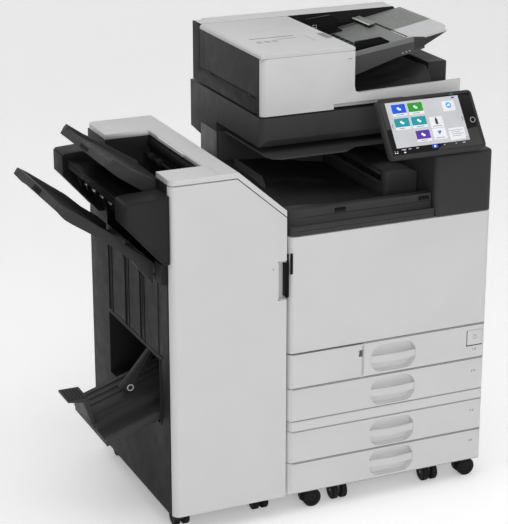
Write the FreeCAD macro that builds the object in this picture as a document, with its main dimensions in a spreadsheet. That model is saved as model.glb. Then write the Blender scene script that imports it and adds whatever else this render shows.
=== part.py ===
"""Floor-standing colour copier with document feeder, four paper trays and a
docked booklet finisher, built as a parametric FreeCAD document.

Machine frame used while modelling: X to the right from the copier's left
side, Y backwards from its front covers, Z up from the floor, millimetres.
Every sub-part's Placement then moves it so that the origin is at the centre
of the whole machine's footprint, on the floor.
"""
import FreeCAD, Part

import math
import os

import Sketcher
from FreeCAD import Placement, Rotation, Vector

DOC = FreeCAD.newDocument("Copier")
SHEET = DOC.addObject("Spreadsheet::Sheet", "Dims")
PARTS = []


class Size:
    """A number together with the spreadsheet expression it comes from."""

    def __init__(self, value, text):
        self.value = float(value)
        self.text = text

    def __add__(self, other):
        other = as_size(other)
        return Size(self.value + other.value, f"({self.text} + {other.text})")

    def __sub__(self, other):
        other = as_size(other)
        return Size(self.value - other.value, f"({self.text} - {other.text})")

    def __mul__(self, other):
        other = as_size(other)
        return Size(self.value * other.value, f"({self.text} * {other.text})")

    def __truediv__(self, other):
        other = as_size(other)
        return Size(self.value / other.value, f"({self.text} / {other.text})")

    def __neg__(self):
        return Size(-self.value, f"(0 - {self.text})")

    def __radd__(self, other):
        return as_size(other) + self

    def __rsub__(self, other):
        return as_size(other) - self

    def __rmul__(self, other):
        return as_size(other) * self


def as_size(number):
    if isinstance(number, Size):
        return number
    return Size(number, repr(float(number)))


def dim(alias, value, note):
    """Put one driving dimension in the sheet and return it as a Size."""
    dim.row += 1
    cell = f"B{dim.row}"
    SHEET.set(f"A{dim.row}", alias)
    SHEET.set(cell, str(value))
    SHEET.setAlias(cell, alias)
    SHEET.set(f"C{dim.row}", note)
    return Size(value, f"Dims.{alias}")


dim.row = 0

# ---------------------------------------------------------------- dimensions
# whole machine
BODY_W = dim("body_width", 587, "copier body, left to right")
BODY_D = dim("body_depth", 586, "front covers to the rear edge of the side covers")
BODY_Z = dim("body_bottom", 59, "underside of the body above the floor")
GAP = dim("cover_gap", 1.5, "half of a seam between two covers, rounded up")
SKIN = dim("cover_skin", 3, "wall of a moulded cover")
PANEL_T = dim("front_panel_depth", 22, "front panels, front to back")
CORNER = dim("front_corner_radius", 18, "vertical front corners")
TRAY_REACH = dim("tray_reach", 575, "stacker tray tip, left of the copier side")
FLAP_REACH = dim("flap_reach", 608, "tip of the feeder's end flap, from the left side")
PANEL_REACH = dim("panel_reach", 28, "operation panel edge in front of the covers")
SCAN_BACK = dim("scanner_back", 657, "rear face of the scanner")

# seams of the front, from the floor up
Z_TRAY4 = dim("seam_tray_four", 149, "top of tray 4")
Z_TRAY3 = dim("seam_tray_three", 240, "top of tray 3")
Z_BAND = dim("seam_band", 268, "top of the fixed band")
Z_TRAY2 = dim("seam_tray_two", 361, "top of tray 2")
Z_TRAY1 = dim("seam_tray_one", 459, "top of tray 1")
Z_COVER = dim("seam_front_cover", 777, "top of the front cover")
X_DOOR = dim("waste_door_width", 214, "waste toner door, left of tray 1")
HANDLE_X = dim("handle_centre", 305, "centre of the tray handles")
HANDLE_W = dim("handle_width", 133, "tray handle recess")
HANDLE_H = dim("handle_height", 75, "tray handle recess")
HANDLE_D = dim("handle_depth", 22, "tray handle recess, front to back")
HANDLE_R = dim("handle_corner", 32, "tray handle recess, corner radius")

FLAP_X = dim("switch_flap_left", 529, "main switch flap")
FLAP_Z = dim("switch_flap_bottom", 400, "main switch flap")
FLAP_W = dim("switch_flap_width", 45, "main switch flap")
FLAP_H = dim("switch_flap_height", 42, "main switch flap")

# upper body
COLUMN_Z = dim("column_top", 937, "top of the rear column, under the scanner")
BOX_X = dim("control_box_left", 416, "left side of the upper right box")
BOX_Z = dim("control_box_top", 943, "top of the upper right box")
BOX_D = dim("control_box_depth", 170, "upper right box, front to back")
REAR_Y = dim("column_front", 473, "front of the rear column")
RIM_Y = dim("output_rim_front", 20, "front of the output tray rim")
RIM_Z = dim("output_rim_top", 840, "top of the output tray rim")
FLOOR_Z = dim("output_floor", 812, "output tray at its low end")
EXIT_X = dim("exit_unit_left", 320, "exit unit, left side")
EXIT_Y = dim("exit_unit_front", 100, "exit unit, front side")
EXIT_Z = dim("exit_unit_top", 888, "exit unit, highest point")

# scanner and feeder
SCAN_Y = dim("scanner_front", 177, "front face of the scanner")
SCAN_Z = dim("scanner_bottom", 964, "underside of the scanner")
SCAN_TOP = dim("scanner_top", 1042, "top of the scanner")
FEED_Z = dim("feeder_bottom", 1047, "underside of the document feeder")
RIM_TOP = dim("feeder_rim_top", 1084, "top of the feeder's low front rim")
TOWER_X = dim("feeder_tower_width", 266, "tall left part of the feeder")
TOWER_Z = dim("feeder_tower_top", 1210, "top of the feeder")
FEED_BACK = dim("feeder_back", 637, "rear face of the feeder")
GROOVE_Z = dim("feeder_groove", 1090, "lower edge of the opening feed cover")

# operation panel
PANEL_X = dim("panel_left", 270, "left edge of the operation panel")
PANEL_W = dim("panel_width", 277, "operation panel")
PANEL_L = dim("panel_length", 162, "operation panel along its slope")
PANEL_H = dim("panel_thickness", 20, "operation panel")
PANEL_Z = dim("panel_bottom", 960, "lower edge of the operation panel")
PANEL_TILT = dim("panel_tilt", 54, "degrees from horizontal")
PIVOT_X = dim("panel_pivot_x", 468, "middle of the panel's pivot")
PIVOT_Y = dim("panel_pivot_y", 30, "panel's pivot behind the front covers")
PIVOT_Z = dim("panel_pivot_z", 972, "panel's pivot above the floor")

# finisher
FIN_L = dim("finisher_left", 322, "finisher cabinet, left side, left of the copier")
FIN_R = dim("finisher_right", 8, "gap between finisher and copier")
FIN_D = dim("finisher_depth", 604, "finisher cabinet")
FIN_TOP = dim("finisher_top", 952, "underside of the top cover")
FIN_SLOPE_X = dim("finisher_slope_start", 143, "start of the slope on the right")
FIN_SLOPE_Z = dim("finisher_slope_end", 835, "right end of the slope")
TOP_T = dim("top_cover_thickness", 14, "finisher top cover")
ARM_F = dim("top_cover_front_arm", 92, "rear edge of the top cover's front arm")
ARM_B = dim("top_cover_back_arm", 464, "front edge of the top cover's back arm")
WELL_X = dim("top_well_right", 196, "right edge of the open well in the top")
HOOD_X = dim("exit_hood_left", 435, "left side of the exit hood")
BAY_TOP = dim("booklet_bay_top", 470, "top of the booklet bay")
BAY_LOW = dim("booklet_bay_bottom", 292, "bottom of the booklet bay")
FIN_FRONT_Y = dim("finisher_front_casters", 78, "finisher's front caster wheels")
FIN_REAR_Y = dim("finisher_rear_casters", 540, "finisher's rear caster wheels")

FIN_SWIVELS = (dim("finisher_left_swivel", -279, "finisher's left front swivel axis"),
               dim("finisher_right_swivel", -53, "finisher's right front swivel axis"))
FIN_HINGE_X = dim("finisher_hinge_x", -312, "finisher door's pins, left of the copier")
FIN_HINGE_Y = dim("finisher_hinge_y", 10, "finisher door's pins behind the front")
FIN_PIN_R = dim("finisher_pin_radius", 3, "finisher door's hinge pins")
FIN_CORNER = dim("finisher_corner_radius", 17, "finisher's outer upright corners")
UPPER_X = dim("upper_rollers_x", -210, "upper exit rollers, left of the copier")
UPPER_Z = dim("upper_rollers_z", 905, "upper exit rollers above the floor")
LOWER_X = dim("lower_rollers_x", -352, "stacker exit rollers, left of the copier")
LOWER_Z = dim("lower_rollers_z", 812, "stacker exit rollers above the floor")
STAPLER_Z = dim("stapler_bottom", 700, "underside of the travelling stapler")
ARM_HINGE_X = dim("booklet_arm_hinge_x", -262, "booklet arm's pin, left of the copier")
ARM_HINGE_Z = dim("booklet_arm_hinge_z", 455, "booklet arm's pin above the floor")
STOP_HINGE_X = dim("booklet_stop_hinge_x", -477, "booklet stop's pin, left of the copier")
STOP_HINGE_Z = dim("booklet_stop_hinge_z", 283, "booklet stop's pin above the floor")
# stacker guide slots: front edge and lower end of each
SLOTS = ((200, 517), (312, 508), (440, 475))

# casters and feet
WHEEL_R = dim("caster_wheel_radius", 25, "twin caster wheels")
WHEEL_LIFT = dim("caster_lift", 0.5, "wheels clear of the floor on the feet")
WHEEL_W = dim("caster_wheel_width", 14, "one wheel of a twin caster")
WHEEL_IN = dim("caster_wheel_inner", 6, "gap face of a wheel from the middle")
AXLE_R = dim("caster_axle_radius", 4, "caster axle")
AXLE_GAP = dim("axle_clearance", 0.05, "running clearance on the axle, radial")
TRAIL = dim("caster_trail", 18, "wheel axle to swivel axis")
FOOT_R = dim("foot_radius", 22, "levelling foot pad")
SWIVEL_GAP = dim("swivel_gap", 0.3, "swivelling caster plates below the frame")
KINGPIN_R = dim("kingpin_radius", 5, "pin a caster swivels on")

# the machine's footprint, from which the origin is worked out
SHIFT_X = (FLAP_REACH - TRAY_REACH) / 2
SHIFT_Y = (SCAN_BACK - PANEL_REACH) / 2


# ------------------------------------------------------------------- helpers
def bind(thing, path, size):
    """Bind one property to the sheet."""
    thing.setExpression(path, as_size(size).text)


def add(kind, name):
    return DOC.addObject(kind, name)


def place_at(thing, base, axis=None, angle=0):
    """Put a primitive at a point, turned by a fixed angle about an axis."""
    if axis is not None:
        thing.Placement = Placement(Vector(), Rotation(Vector(*axis), angle))
    for letter, size in zip("xyz", base):
        bind(thing, f"Placement.Base.{letter}", size)


def box(name, low, high):
    """A block between two opposite corners."""
    block = add("Part::Box", name)
    for prop, first, last in zip(("Length", "Width", "Height"), low, high):
        bind(block, prop, as_size(last) - first)
    place_at(block, low)
    return block


def rod(name, start, radius, length, axis="z"):
    """A round bar from a point along +X, +Y or +Z."""
    bar = add("Part::Cylinder", name)
    bind(bar, "Radius", radius)
    bind(bar, "Height", length)
    turn = {"x": ((0, 1, 0), 90), "y": ((1, 0, 0), -90), "z": (None, 0)}[axis]
    place_at(bar, start, *turn)
    return bar


def joined(name, pieces):
    """Several shapes as one object: touching ones merge, others stay apart."""
    union = add("Part::MultiFuse", name)
    union.Shapes = pieces
    return union


def cut(name, base, tools):
    """A base with one or more tools taken away."""
    tool = tools[0] if len(tools) == 1 else joined(name + "_tools", tools)
    result = add("Part::Cut", name)
    result.Base = base
    result.Tool = tool
    return result


def group(name, pieces):
    """Separate solids of one node, kept apart in a compound."""
    bundle = add("Part::Compound", name)
    bundle.Links = pieces
    return bundle


def keep(thing, label):
    """Make an object a sub-part: its label, and its place in the part's frame."""
    thing.Label = label
    bind(thing, "Placement.Base.x", -SHIFT_X)
    bind(thing, "Placement.Base.y", -SHIFT_Y)
    PARTS.append(thing)
    return thing


class Moulding:
    """A PartDesign body made of sketched pads, pockets and fillets."""

    ROLES = {"xy": "XY_Plane", "xz": "XZ_Plane", "yz": "YZ_Plane"}

    def __init__(self, label, kept=True):
        self.name = label
        self.body = add("PartDesign::Body", label + "_body")
        self.count = 0
        if kept:
            keep(self.body, label)

    def sketch(self, plane, offset, outline):
        """A closed outline on one of the body's planes, every corner bound."""
        self.count += 1
        sheet = self.body.newObject("Sketcher::SketchObject", f"{self.name}_sketch_{self.count}")
        role = self.ROLES[plane]
        support = [part for part in self.body.Origin.OriginFeatures if part.Role == role][0]
        sheet.AttachmentSupport = (support, "")
        sheet.MapMode = "FlatFace"
        corners = [(as_size(u), as_size(v)) for u, v in outline]
        total = len(corners)
        for index, (u, v) in enumerate(corners):
            u_next, v_next = corners[(index + 1) % total]
            start = Vector(u.value, v.value, 0)
            end = Vector(u_next.value, v_next.value, 0)
            sheet.addGeometry(Part.LineSegment(start, end))
        for index in range(total):
            sheet.addConstraint(Sketcher.Constraint("Coincident", index, 2, (index + 1) % total, 1))
        for index, corner in enumerate(corners):
            for kind, size in zip(("DistanceX", "DistanceY"), corner):
                number = sheet.addConstraint(Sketcher.Constraint(kind, -1, 1, index, 1, size.value))
                sheet.setExpression(f"Constraints[{number}]", size.text)
        # the XZ plane's normal points along -Y
        bind(sheet, "AttachmentOffset.Base.z", -as_size(offset) if plane == "xz" else offset)
        return sheet

    def pad(self, plane, start, end, outline):
        """Material between two offsets of a plane."""
        sheet = self.sketch(plane, start, outline)
        feature = self.body.newObject("PartDesign::Pad", f"{self.name}_pad_{self.count}")
        feature.Profile = sheet
        feature.Reversed = plane == "xz"
        bind(feature, "Length", as_size(end) - start)
        return feature

    def pocket(self, plane, start, end, outline):
        """Material taken away between two offsets of a plane."""
        DOC.recompute()
        before = self.body.Shape.Volume
        sheet = self.sketch(plane, start, outline)
        feature = self.body.newObject("PartDesign::Pocket", f"{self.name}_pocket_{self.count}")
        feature.Profile = sheet
        feature.Reversed = plane != "xz"
        bind(feature, "Length", as_size(end) - start)
        DOC.recompute()
        if not self.body.Shape.Volume < before - 0.5:
            raise ValueError(f"{feature.Name} cuts nothing")
        return feature

    def round(self, radius, chosen):
        """Fillet the edges that a test on their two ends picks out."""
        DOC.recompute()
        base = self.body.Tip
        names = []
        for index, edge in enumerate(base.Shape.Edges):
            if len(edge.Vertexes) == 2 and chosen(edge.Vertexes[0].Point, edge.Vertexes[1].Point):
                names.append(f"Edge{index + 1}")
        if not names:
            raise ValueError(f"no edge of {self.name} to round")
        self.count += 1
        feature = self.body.newObject("PartDesign::Fillet", f"{self.name}_fillet_{self.count}")
        feature.Base = (base, names)
        bind(feature, "Radius", radius)
        DOC.recompute()
        return feature


def rect(u_low, v_low, u_high, v_high):
    """A rectangular outline."""
    return [(u_low, v_low), (u_high, v_low), (u_high, v_high), (u_low, v_high)]


def upright_at(x=None, y=None):
    """Edges along Z that stand at the given X and Y."""
    def chosen(first, second):
        if abs(first.x - second.x) > 1e-3 or abs(first.y - second.y) > 1e-3:
            return False
        near_x = x is None or any(abs(first.x - as_size(v).value) < 1e-2 for v in x)
        near_y = y is None or any(abs(first.y - as_size(v).value) < 1e-2 for v in y)
        return near_x and near_y
    return chosen


def along_y_at(x, z):
    """Edges along Y at the given X and Z."""
    def chosen(first, second):
        if abs(first.x - second.x) > 1e-3 or abs(first.z - second.z) > 1e-3:
            return False
        near_x = any(abs(first.x - as_size(v).value) < 1e-2 for v in x)
        return near_x and any(abs(first.z - as_size(v).value) < 1e-2 for v in z)
    return chosen


def along_x_at(y, z):
    """Edges along X at one Y and one Z."""
    def chosen(first, second):
        level = abs(first.y - second.y) < 1e-3 and abs(first.z - second.z) < 1e-3
        return level and abs(first.y - as_size(y).value) < 1e-2 and abs(first.z - as_size(z).value) < 1e-2
    return chosen


# ------------------------------------------------------------------- casters
CASTER_TOP = BODY_Z - 3
WHEEL_Z = WHEEL_R + WHEEL_LIFT


def caster_fork(name, swivel_x, swivel_y, rolls, swivels=True):
    """Top plate, web between the wheels and axle; the wheels trail along the rolling axis.

    A swivelling fork stays clear of the frame and turns on a kingpin in the frame's bottom.
    """
    top = CASTER_TOP - SWIVEL_GAP if swivels else CASTER_TOP
    plate = rod(name + "_plate", (swivel_x, swivel_y, CASTER_TOP - 4), 20, top - CASTER_TOP + 4)
    half = WHEEL_IN - 1
    reach = WHEEL_IN + WHEEL_W + 1
    low = WHEEL_Z - 8
    high = CASTER_TOP - 2
    if rolls == "x":
        wheel_x = swivel_x + TRAIL
        web = box(name + "_web", (swivel_x - 10, swivel_y - half, low), (wheel_x + 10, swivel_y + half, high))
        axle = rod(name + "_axle", (wheel_x, swivel_y - reach, WHEEL_Z), AXLE_R, reach * 2, "y")
    else:
        wheel_y = swivel_y - TRAIL
        web = box(name + "_web", (swivel_x - half, wheel_y - 10, low), (swivel_x + half, swivel_y + 10, high))
        axle = rod(name + "_axle", (swivel_x - reach, wheel_y, WHEEL_Z), AXLE_R, reach * 2, "x")
    pieces = [plate, web, axle]
    if swivels:
        pieces.append(rod(name + "_kingpin", (swivel_x, swivel_y, CASTER_TOP - 2), KINGPIN_R, 5))
    return joined(name, pieces)


def caster_wheels(name, wheel_x, wheel_y, axis):
    """The two wheels of one caster, bored for the axle."""
    wheels = []
    for side, start in (("a", -(WHEEL_IN + WHEEL_W)), ("b", WHEEL_IN)):
        if axis == "x":
            centre = (wheel_x + start, wheel_y, WHEEL_Z)
        else:
            centre = (wheel_x, wheel_y + start, WHEEL_Z)
        disc = rod(f"{name}_disc_{side}", centre, WHEEL_R, WHEEL_W, axis)
        bore = rod(f"{name}_bore_{side}", centre, AXLE_R + AXLE_GAP, WHEEL_W, axis)
        wheels.append(cut(f"{name}_{side}", disc, [bore]))
    return wheels


INNER_X = (dim("inner_caster_left", 167, "rigid caster, from the left side"),
           dim("inner_caster_right", 444, "rigid caster, from the left side"))
INNER_Y = dim("inner_caster_front", 48, "rigid front casters behind the front covers")
OUTER_SWIVELS = (dim("left_swivel", 65, "left front swivel axis"),
                 dim("right_swivel", 537, "right front swivel axis"))
OUTER_Y = dim("outer_caster_front", 44, "swivel casters behind the front covers")
REAR_CASTER_Y = dim("rear_caster_front", 520, "rear casters behind the front covers")
FOOT_XY = ((110, 190), (477, 190), (110, 455), (477, 455))


def levelling_foot(name, x, y):
    """A screw with a round pad on the floor."""
    pad = rod(name + "_pad", (x, y, 0), FOOT_R, 9)
    screw = rod(name + "_screw", (x, y, 8), 6, BODY_Z - 8)
    return joined(name, [pad, screw])


# -------------------------------------------------------------- copier frame
FRAME_IN = dim("frame_inset", 10, "steel frame inside the side covers")
FRAME_R = dim("frame_inset_right", 20, "steel frame inside the right side")
PLATE = dim("frame_plate", 2.5, "steel plate of the frame")
RAIL = dim("tray_rail_width", 8, "tray rails on the frame's sides")
FRAME_Y = dim("frame_front", 40, "front edge of the frame")
FRAME_BACK = dim("frame_back", 566, "rear face of the frame")


BAY_LEFT = FRAME_IN + PLATE
BAY_RIGHT = BODY_W - FRAME_R - PLATE
WIDE = (BAY_LEFT, BAY_RIGHT)
NARROW = (X_DOOR + 5.5, FLAP_X - 4)
TRAY_BAYS = ((4, WIDE, BODY_Z), (3, WIDE, Z_TRAY4), (2, WIDE, Z_BAND), (1, NARROW, Z_TRAY2))
RAIL_RISE = 12
RAIL_H = 6
FLAP_HINGE_Y = dim("flap_hinge_y", 4.9, "main switch flap's pin behind the front")
FLAP_HINGE_Z = FLAP_Z + 2.4
FLAP_PIN_R = 0.9
COVER_HINGES = (60, 527)
COVER_HINGE_Y = dim("cover_hinge_y", 4.8, "front cover's hinge pins behind the front")
COVER_HINGE_Z = dim("cover_hinge_z", 465.5, "front cover's hinge pins above the floor")
COVER_PIN_R = 1.2
DOOR_HINGE = dim("door_hinge", 10.5, "waste toner door's pins from the left side and the front")
BOTTLE_Z = dim("bottle_height", 715, "toner bottles' axes above the floor")
BOTTLE_R = dim("bottle_radius", 34, "toner bottles")
DRUM_Z = dim("drum_height", 560, "drums' axes above the floor")


def base_frame():
    """Steel frame: shelves, side and rear plates, posts, tray rails, feet and rigid casters."""
    left = FRAME_IN
    right = BODY_W - FRAME_R
    in_left = left + PLATE
    in_right = right - PLATE
    deck = Z_COVER + 2
    front = FRAME_Y - 1
    back = FRAME_BACK - PLATE
    lower = box("frame_lower", (left, FRAME_Y, CASTER_TOP), (right, FRAME_BACK, deck))
    bays = [
        box("bay_paper_bank", (in_left, front, BODY_Z), (in_right, back, Z_TRAY3)),
        box("bay_band", (in_left, front, Z_TRAY3 + PLATE), (in_right, back, Z_BAND - 2)),
        box("bay_main_trays", (in_left, front, Z_BAND + 1), (in_right, back, Z_TRAY1 + 1)),
        box("bay_engine", (in_left, front, Z_TRAY1 + 6), (in_right, back, deck - PLATE)),
    ]
    post = box("frame_post", (BOX_X + 20, 60, deck - 1), (right, FRAME_BACK, BOX_Z - 5))
    post_in = box("frame_post_inside", (BOX_X + 20 + PLATE, 60 + PLATE, deck), (in_right, back, BOX_Z))
    column = box("frame_column", (left, REAR_Y + 13, deck - 1), (BOX_X + 22, FRAME_BACK, COLUMN_Z))
    column_in = box("frame_column_inside", (in_left, REAR_Y + 13 + PLATE, deck),
                    (BOX_X + 20, back, COLUMN_Z - PLATE))
    pieces = [cut("frame_lower_open", lower, bays), cut("frame_post_open", post, [post_in]),
              cut("frame_column_open", column, [column_in])]
    # a rail under each side of every tray
    for number, (face_left, face_right), seam in TRAY_BAYS:
        low = seam + RAIL_RISE
        for side, x_low in (("left", face_left), ("right", face_right - RAIL)):
            pieces.append(box(f"rail_{side}_{number}", (x_low, FRAME_Y, low),
                              (x_low + RAIL, back, low + RAIL_H)))
    # dividers beside the narrow tray 1
    for side, x_low in (("left", NARROW[0] - PLATE), ("right", NARROW[1])):
        pieces.append(box(f"divider_{side}", (x_low, FRAME_Y, Z_TRAY2 + 2),
                          (x_low + PLATE, back, Z_TRAY1 + 2)))
    # shelf of the toner bottles, exposure unit under the drums
    shelf = BOTTLE_Z - BOTTLE_R
    pieces.append(box("bottle_shelf", (in_left, 46, shelf - PLATE), (472, back, shelf)))
    unit = box("exposure_unit", (40, 60, Z_TRAY1 + 5), (455, 450, DRUM_Z - 45))
    unit_in = box("exposure_inside", (43, 63, Z_TRAY1 + 8), (452, 451, DRUM_Z - 48))
    pieces.append(cut("exposure_case", unit, [unit_in]))
    # the lowest plate reaches forward over the front swivel casters
    pieces.append(box("front_plate", (left, 24, CASTER_TOP), (right, FRAME_Y + 1, BODY_Z)))
    pieces.append(switch_bracket())
    pieces += cover_hinge_arms() + door_hinge_arms()
    for number, (x, y) in enumerate(FOOT_XY):
        pieces.append(levelling_foot(f"foot_{number}", as_size(x), as_size(y)))
    for number, x in enumerate(INNER_X):
        pieces.append(caster_fork(f"inner_fork_{number}", x, INNER_Y + TRAIL, "y", False))
    for number, x in enumerate((60, BODY_W - 60)):
        pieces.append(caster_fork(f"rear_fork_{number}", as_size(x), REAR_CASTER_Y + TRAIL, "y", False))
    bores = [rod(f"swivel_bore_{number}", (x, OUTER_Y, CASTER_TOP - 1), KINGPIN_R + AXLE_GAP, 5)
             for number, x in enumerate(OUTER_SWIVELS)]
    keep(cut("base_frame", joined("frame_parts", pieces), bores), "base_frame")


def switch_bracket():
    """Block that carries the main switch and the hinge pins of its flap."""
    front = FLAP_HINGE_Y + 3.4
    block = box("switch_block", (FLAP_X - 2, front, FLAP_Z + 2),
                (FLAP_X + FLAP_W - 2, FRAME_Y + 2, FLAP_Z + FLAP_H - 2))
    well = box("switch_well", (FLAP_X + 13.5, front - 1, FLAP_Z + 9.5), (FLAP_X + 31.5, 15, FLAP_Z + 32.5))
    pieces = [cut("switch_block_open", block, [well])]
    for side, cheek, pin in (("left", FLAP_X + 1.5, FLAP_X + 1.5), ("right", FLAP_X + 40.6, FLAP_X + 37)):
        pieces.append(box(f"flap_cheek_{side}", (cheek, FLAP_HINGE_Y - 0.95, FLAP_HINGE_Z - 0.95),
                          (cheek + 2.4, front + 1, FLAP_HINGE_Z + 2)))
        pieces.append(rod(f"flap_pin_{side}", (pin, FLAP_HINGE_Y, FLAP_HINGE_Z), FLAP_PIN_R, 6, "x"))
    return joined("switch_bracket", pieces)


def cover_hinge_arms():
    """Arms that reach into the front cover's hollow, each with a pin along X."""
    arms = []
    for number, x in enumerate(COVER_HINGES):
        arms.append(box(f"cover_arm_{number}", (x - 3, COVER_HINGE_Y - 1.1, COVER_HINGE_Z - 1.1),
                        (x + 3, FRAME_Y + 1, COVER_HINGE_Z + 5)))
        arms.append(rod(f"cover_pin_{number}", (x - 10, COVER_HINGE_Y, COVER_HINGE_Z), COVER_PIN_R, 20, "x"))
    return arms


def door_hinge_arms():
    """Thin plates in the seams above and below the waste toner door, each with an upright pin."""
    upper = Z_TRAY1 - 2.1
    lower = Z_TRAY2 - 0.9
    arms = [box("door_arm_upper", (4, 8, upper), (17, FRAME_Y + 1, upper + 2)),
            box("door_arm_lower", (4, 8, lower), (17, FRAME_Y + 1, lower + 1.8)),
            rod("door_pin_upper", (DOOR_HINGE, DOOR_HINGE, upper - 8), 2, 9),
            rod("door_pin_lower", (DOOR_HINGE, DOOR_HINGE, lower + 1), 2, 9)]
    return arms


def copier_casters():
    """Two swivel casters at the front corners, rigid twin wheels elsewhere."""
    for side, x in zip(("left", "right"), OUTER_SWIVELS):
        keep(caster_fork(f"{side}_caster_fork", x, OUTER_Y, "x"), f"{side}_caster_fork")
        wheels = caster_wheels(f"{side}_caster_wheels", x + TRAIL, OUTER_Y, "y")
        keep(group(f"{side}_caster_wheels", wheels), f"{side}_caster_wheels")
    for side, x in (("left", INNER_X[0]), ("right", INNER_X[1])):
        wheels = caster_wheels(f"inner_{side}_wheels", x, INNER_Y, "x")
        keep(group(f"inner_{side}_wheels", wheels), f"inner_{side}_wheels")
    rear = []
    for number, x in enumerate((60, BODY_W - 60)):
        rear += caster_wheels(f"rear_wheels_{number}", as_size(x), REAR_CASTER_Y, "x")
    keep(group("rear_wheels", rear), "rear_wheels")


# ------------------------------------------------------------- copier covers
SIDE_Y = dim("side_cover_front", 25, "front edge of the side covers")
DOOR_Y = (52, 502)
DOOR_Z = (274, 770)
DOOR_HINGE_X = dim("right_door_hinge_x", 585.4, "right door's pins from the left side")
DOOR_HINGE_Z = dim("right_door_hinge_z", 276, "right door's pins above the floor")
BYPASS_HINGE_X = dim("bypass_hinge_x", 583.5, "bypass tray's pins from the left side")
BYPASS_HINGE_Z = dim("bypass_hinge_z", 479.5, "bypass tray's pins above the floor")
INLET_X = dim("inlet_x", 90, "power inlet, from the left side")
INLET_Z = dim("inlet_z", 110, "power inlet above the floor")


def left_cover():
    """Left side cover with the skin of the rear column."""
    left = Moulding("left_cover")
    left.pad("yz", 0, SKIN, [
        (SIDE_Y, BODY_Z + 2), (BODY_D, BODY_Z + 2), (BODY_D, COLUMN_Z),
        (REAR_Y, COLUMN_Z), (REAR_Y, Z_COVER + 2), (SIDE_Y, Z_COVER + 2)])


def right_cover():
    """Right side cover with the opening and the hinge bores of its door."""
    right = Moulding("right_cover_shell", kept=False)
    right.pad("yz", BODY_W - SKIN, BODY_W, [
        (SIDE_Y, BODY_Z + 2), (BODY_D, BODY_Z + 2), (BODY_D, COLUMN_Z), (BOX_D + 2, COLUMN_Z),
        (BOX_D + 2, Z_COVER + 1), (SIDE_Y, Z_COVER + 1)])
    right.pocket("yz", BODY_W - SKIN - 1, BODY_W + 1,
                 rect(DOOR_Y[0] - 2, DOOR_Z[0] - 3, DOOR_Y[1] + 2, DOOR_Z[1] + 2))
    bores = [rod(f"door_bore_{number}", (DOOR_HINGE_X, y, DOOR_HINGE_Z), 1.25, 6, "y")
             for number, y in enumerate((DOOR_Y[0] - 7, DOOR_Y[1] + 1))]
    keep(cut("right_cover", right.body, bores), "right_cover")


def rear_cover():
    """Rear cover with sloped sides, cooling slots and the inlet's opening."""
    top = 900
    cover = Moulding("rear_cover")
    in_x = SKIN + 1
    out_x = BODY_W - SKIN - 1
    back = BODY_D + 20
    cover.pad("xy", BODY_Z + 2, top, [
        (in_x, 570), (in_x, BODY_D), (in_x + 26, back), (out_x - 26, back),
        (out_x, BODY_D), (out_x, 570)])
    cover.pocket("xy", BODY_Z + 5, top - 3, [
        (in_x + 3, 569), (in_x + 3, BODY_D - 1), (in_x + 28, back - 3), (out_x - 28, back - 3),
        (out_x - 3, BODY_D - 1), (out_x - 3, 569)])
    for row in range(8):
        low = 640 + row * 14
        cover.pocket("xz", back - 5, back + 1, rect(100, low, 230, low + 6))
        cover.pocket("xz", back - 5, back + 1, rect(360, low, 490, low + 6))
    cover.pocket("xz", back - 5, back + 1, rect(INLET_X - 15, INLET_Z - 11, INLET_X + 15, INLET_Z + 11))


def power_inlet():
    """Three-pin appliance inlet: flanged shell with a socket cavity and its pins."""
    back = BODY_D + 20
    inlet = Moulding("power_inlet")
    inlet.pad("xz", back + 0.2, back + 3, rect(INLET_X - 25, INLET_Z - 14, INLET_X + 25, INLET_Z + 14))
    inlet.pad("xz", back - 24, back + 0.2, rect(INLET_X - 14, INLET_Z - 10, INLET_X + 14, INLET_Z + 10))
    inlet.pocket("xz", back - 15, back + 4, [
        (INLET_X - 11.5, INLET_Z - 7.5), (INLET_X + 11.5, INLET_Z - 7.5),
        (INLET_X + 11.5, INLET_Z + 4.5), (INLET_X + 8, INLET_Z + 7.5),
        (INLET_X - 8, INLET_Z + 7.5), (INLET_X - 11.5, INLET_Z + 4.5)])
    for offset, height in ((-7, -3), (0, 1), (7, -3)):
        inlet.pad("xz", back - 16, back - 2, rect(
            INLET_X + offset - 1, INLET_Z + height - 2, INLET_X + offset + 1, INLET_Z + height + 2))


def round_front(panel, x_low, z_low, z_high, round_left):
    """The slab of a front panel that ends at the right side, its outer corners rounded."""
    panel.pad("xz", 0, PANEL_T, rect(x_low, z_low, BODY_W, z_high))
    panel.round(CORNER, upright_at(x=([0] if round_left else []) + [BODY_W], y=[0]))


def hollow_back(panel, x_low, z_low, z_high):
    """Take the inside of a front panel away from behind."""
    inset = SKIN + CORNER * 0.35
    panel.pocket("xz", SKIN, PANEL_T + 1,
                 rect(x_low + inset, z_low + SKIN, BODY_W - inset, z_high - SKIN))


def front_cover():
    """Large cover over the toner bottles, with finger notches at both sides."""
    low = Z_TRAY1 + GAP
    high = Z_COVER - GAP / 2
    cover = Moulding("front_cover_shell", kept=False)
    round_front(cover, as_size(0), low, high, True)
    hollow_back(cover, as_size(0), low, high)
    for x_low, x_high in ((-1, 8), (BODY_W - 8, BODY_W + 1)):
        cover.pocket("xz", 10, PANEL_T + 1, rect(x_low, 674, x_high, 732))
    # at each hinge a notch in the bottom wall for the arm and a boss on both sides of it
    bores = []
    for number, x in enumerate(COVER_HINGES):
        cover.pocket("xz", SKIN, PANEL_T + 1, rect(x - 3.6, low - 1, x + 3.6, low + SKIN + 1))
        for x_low in (x - 10, x + 4):
            cover.pad("xy", low + 1, low + 9, rect(x_low, 2, x_low + 6, 9))
        bores.append(rod(f"cover_bore_{number}", (x - 11, COVER_HINGE_Y, COVER_HINGE_Z),
                         COVER_PIN_R + AXLE_GAP, 22, "x"))
    keep(cut("front_cover", cover.body, bores), "front_cover")


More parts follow.
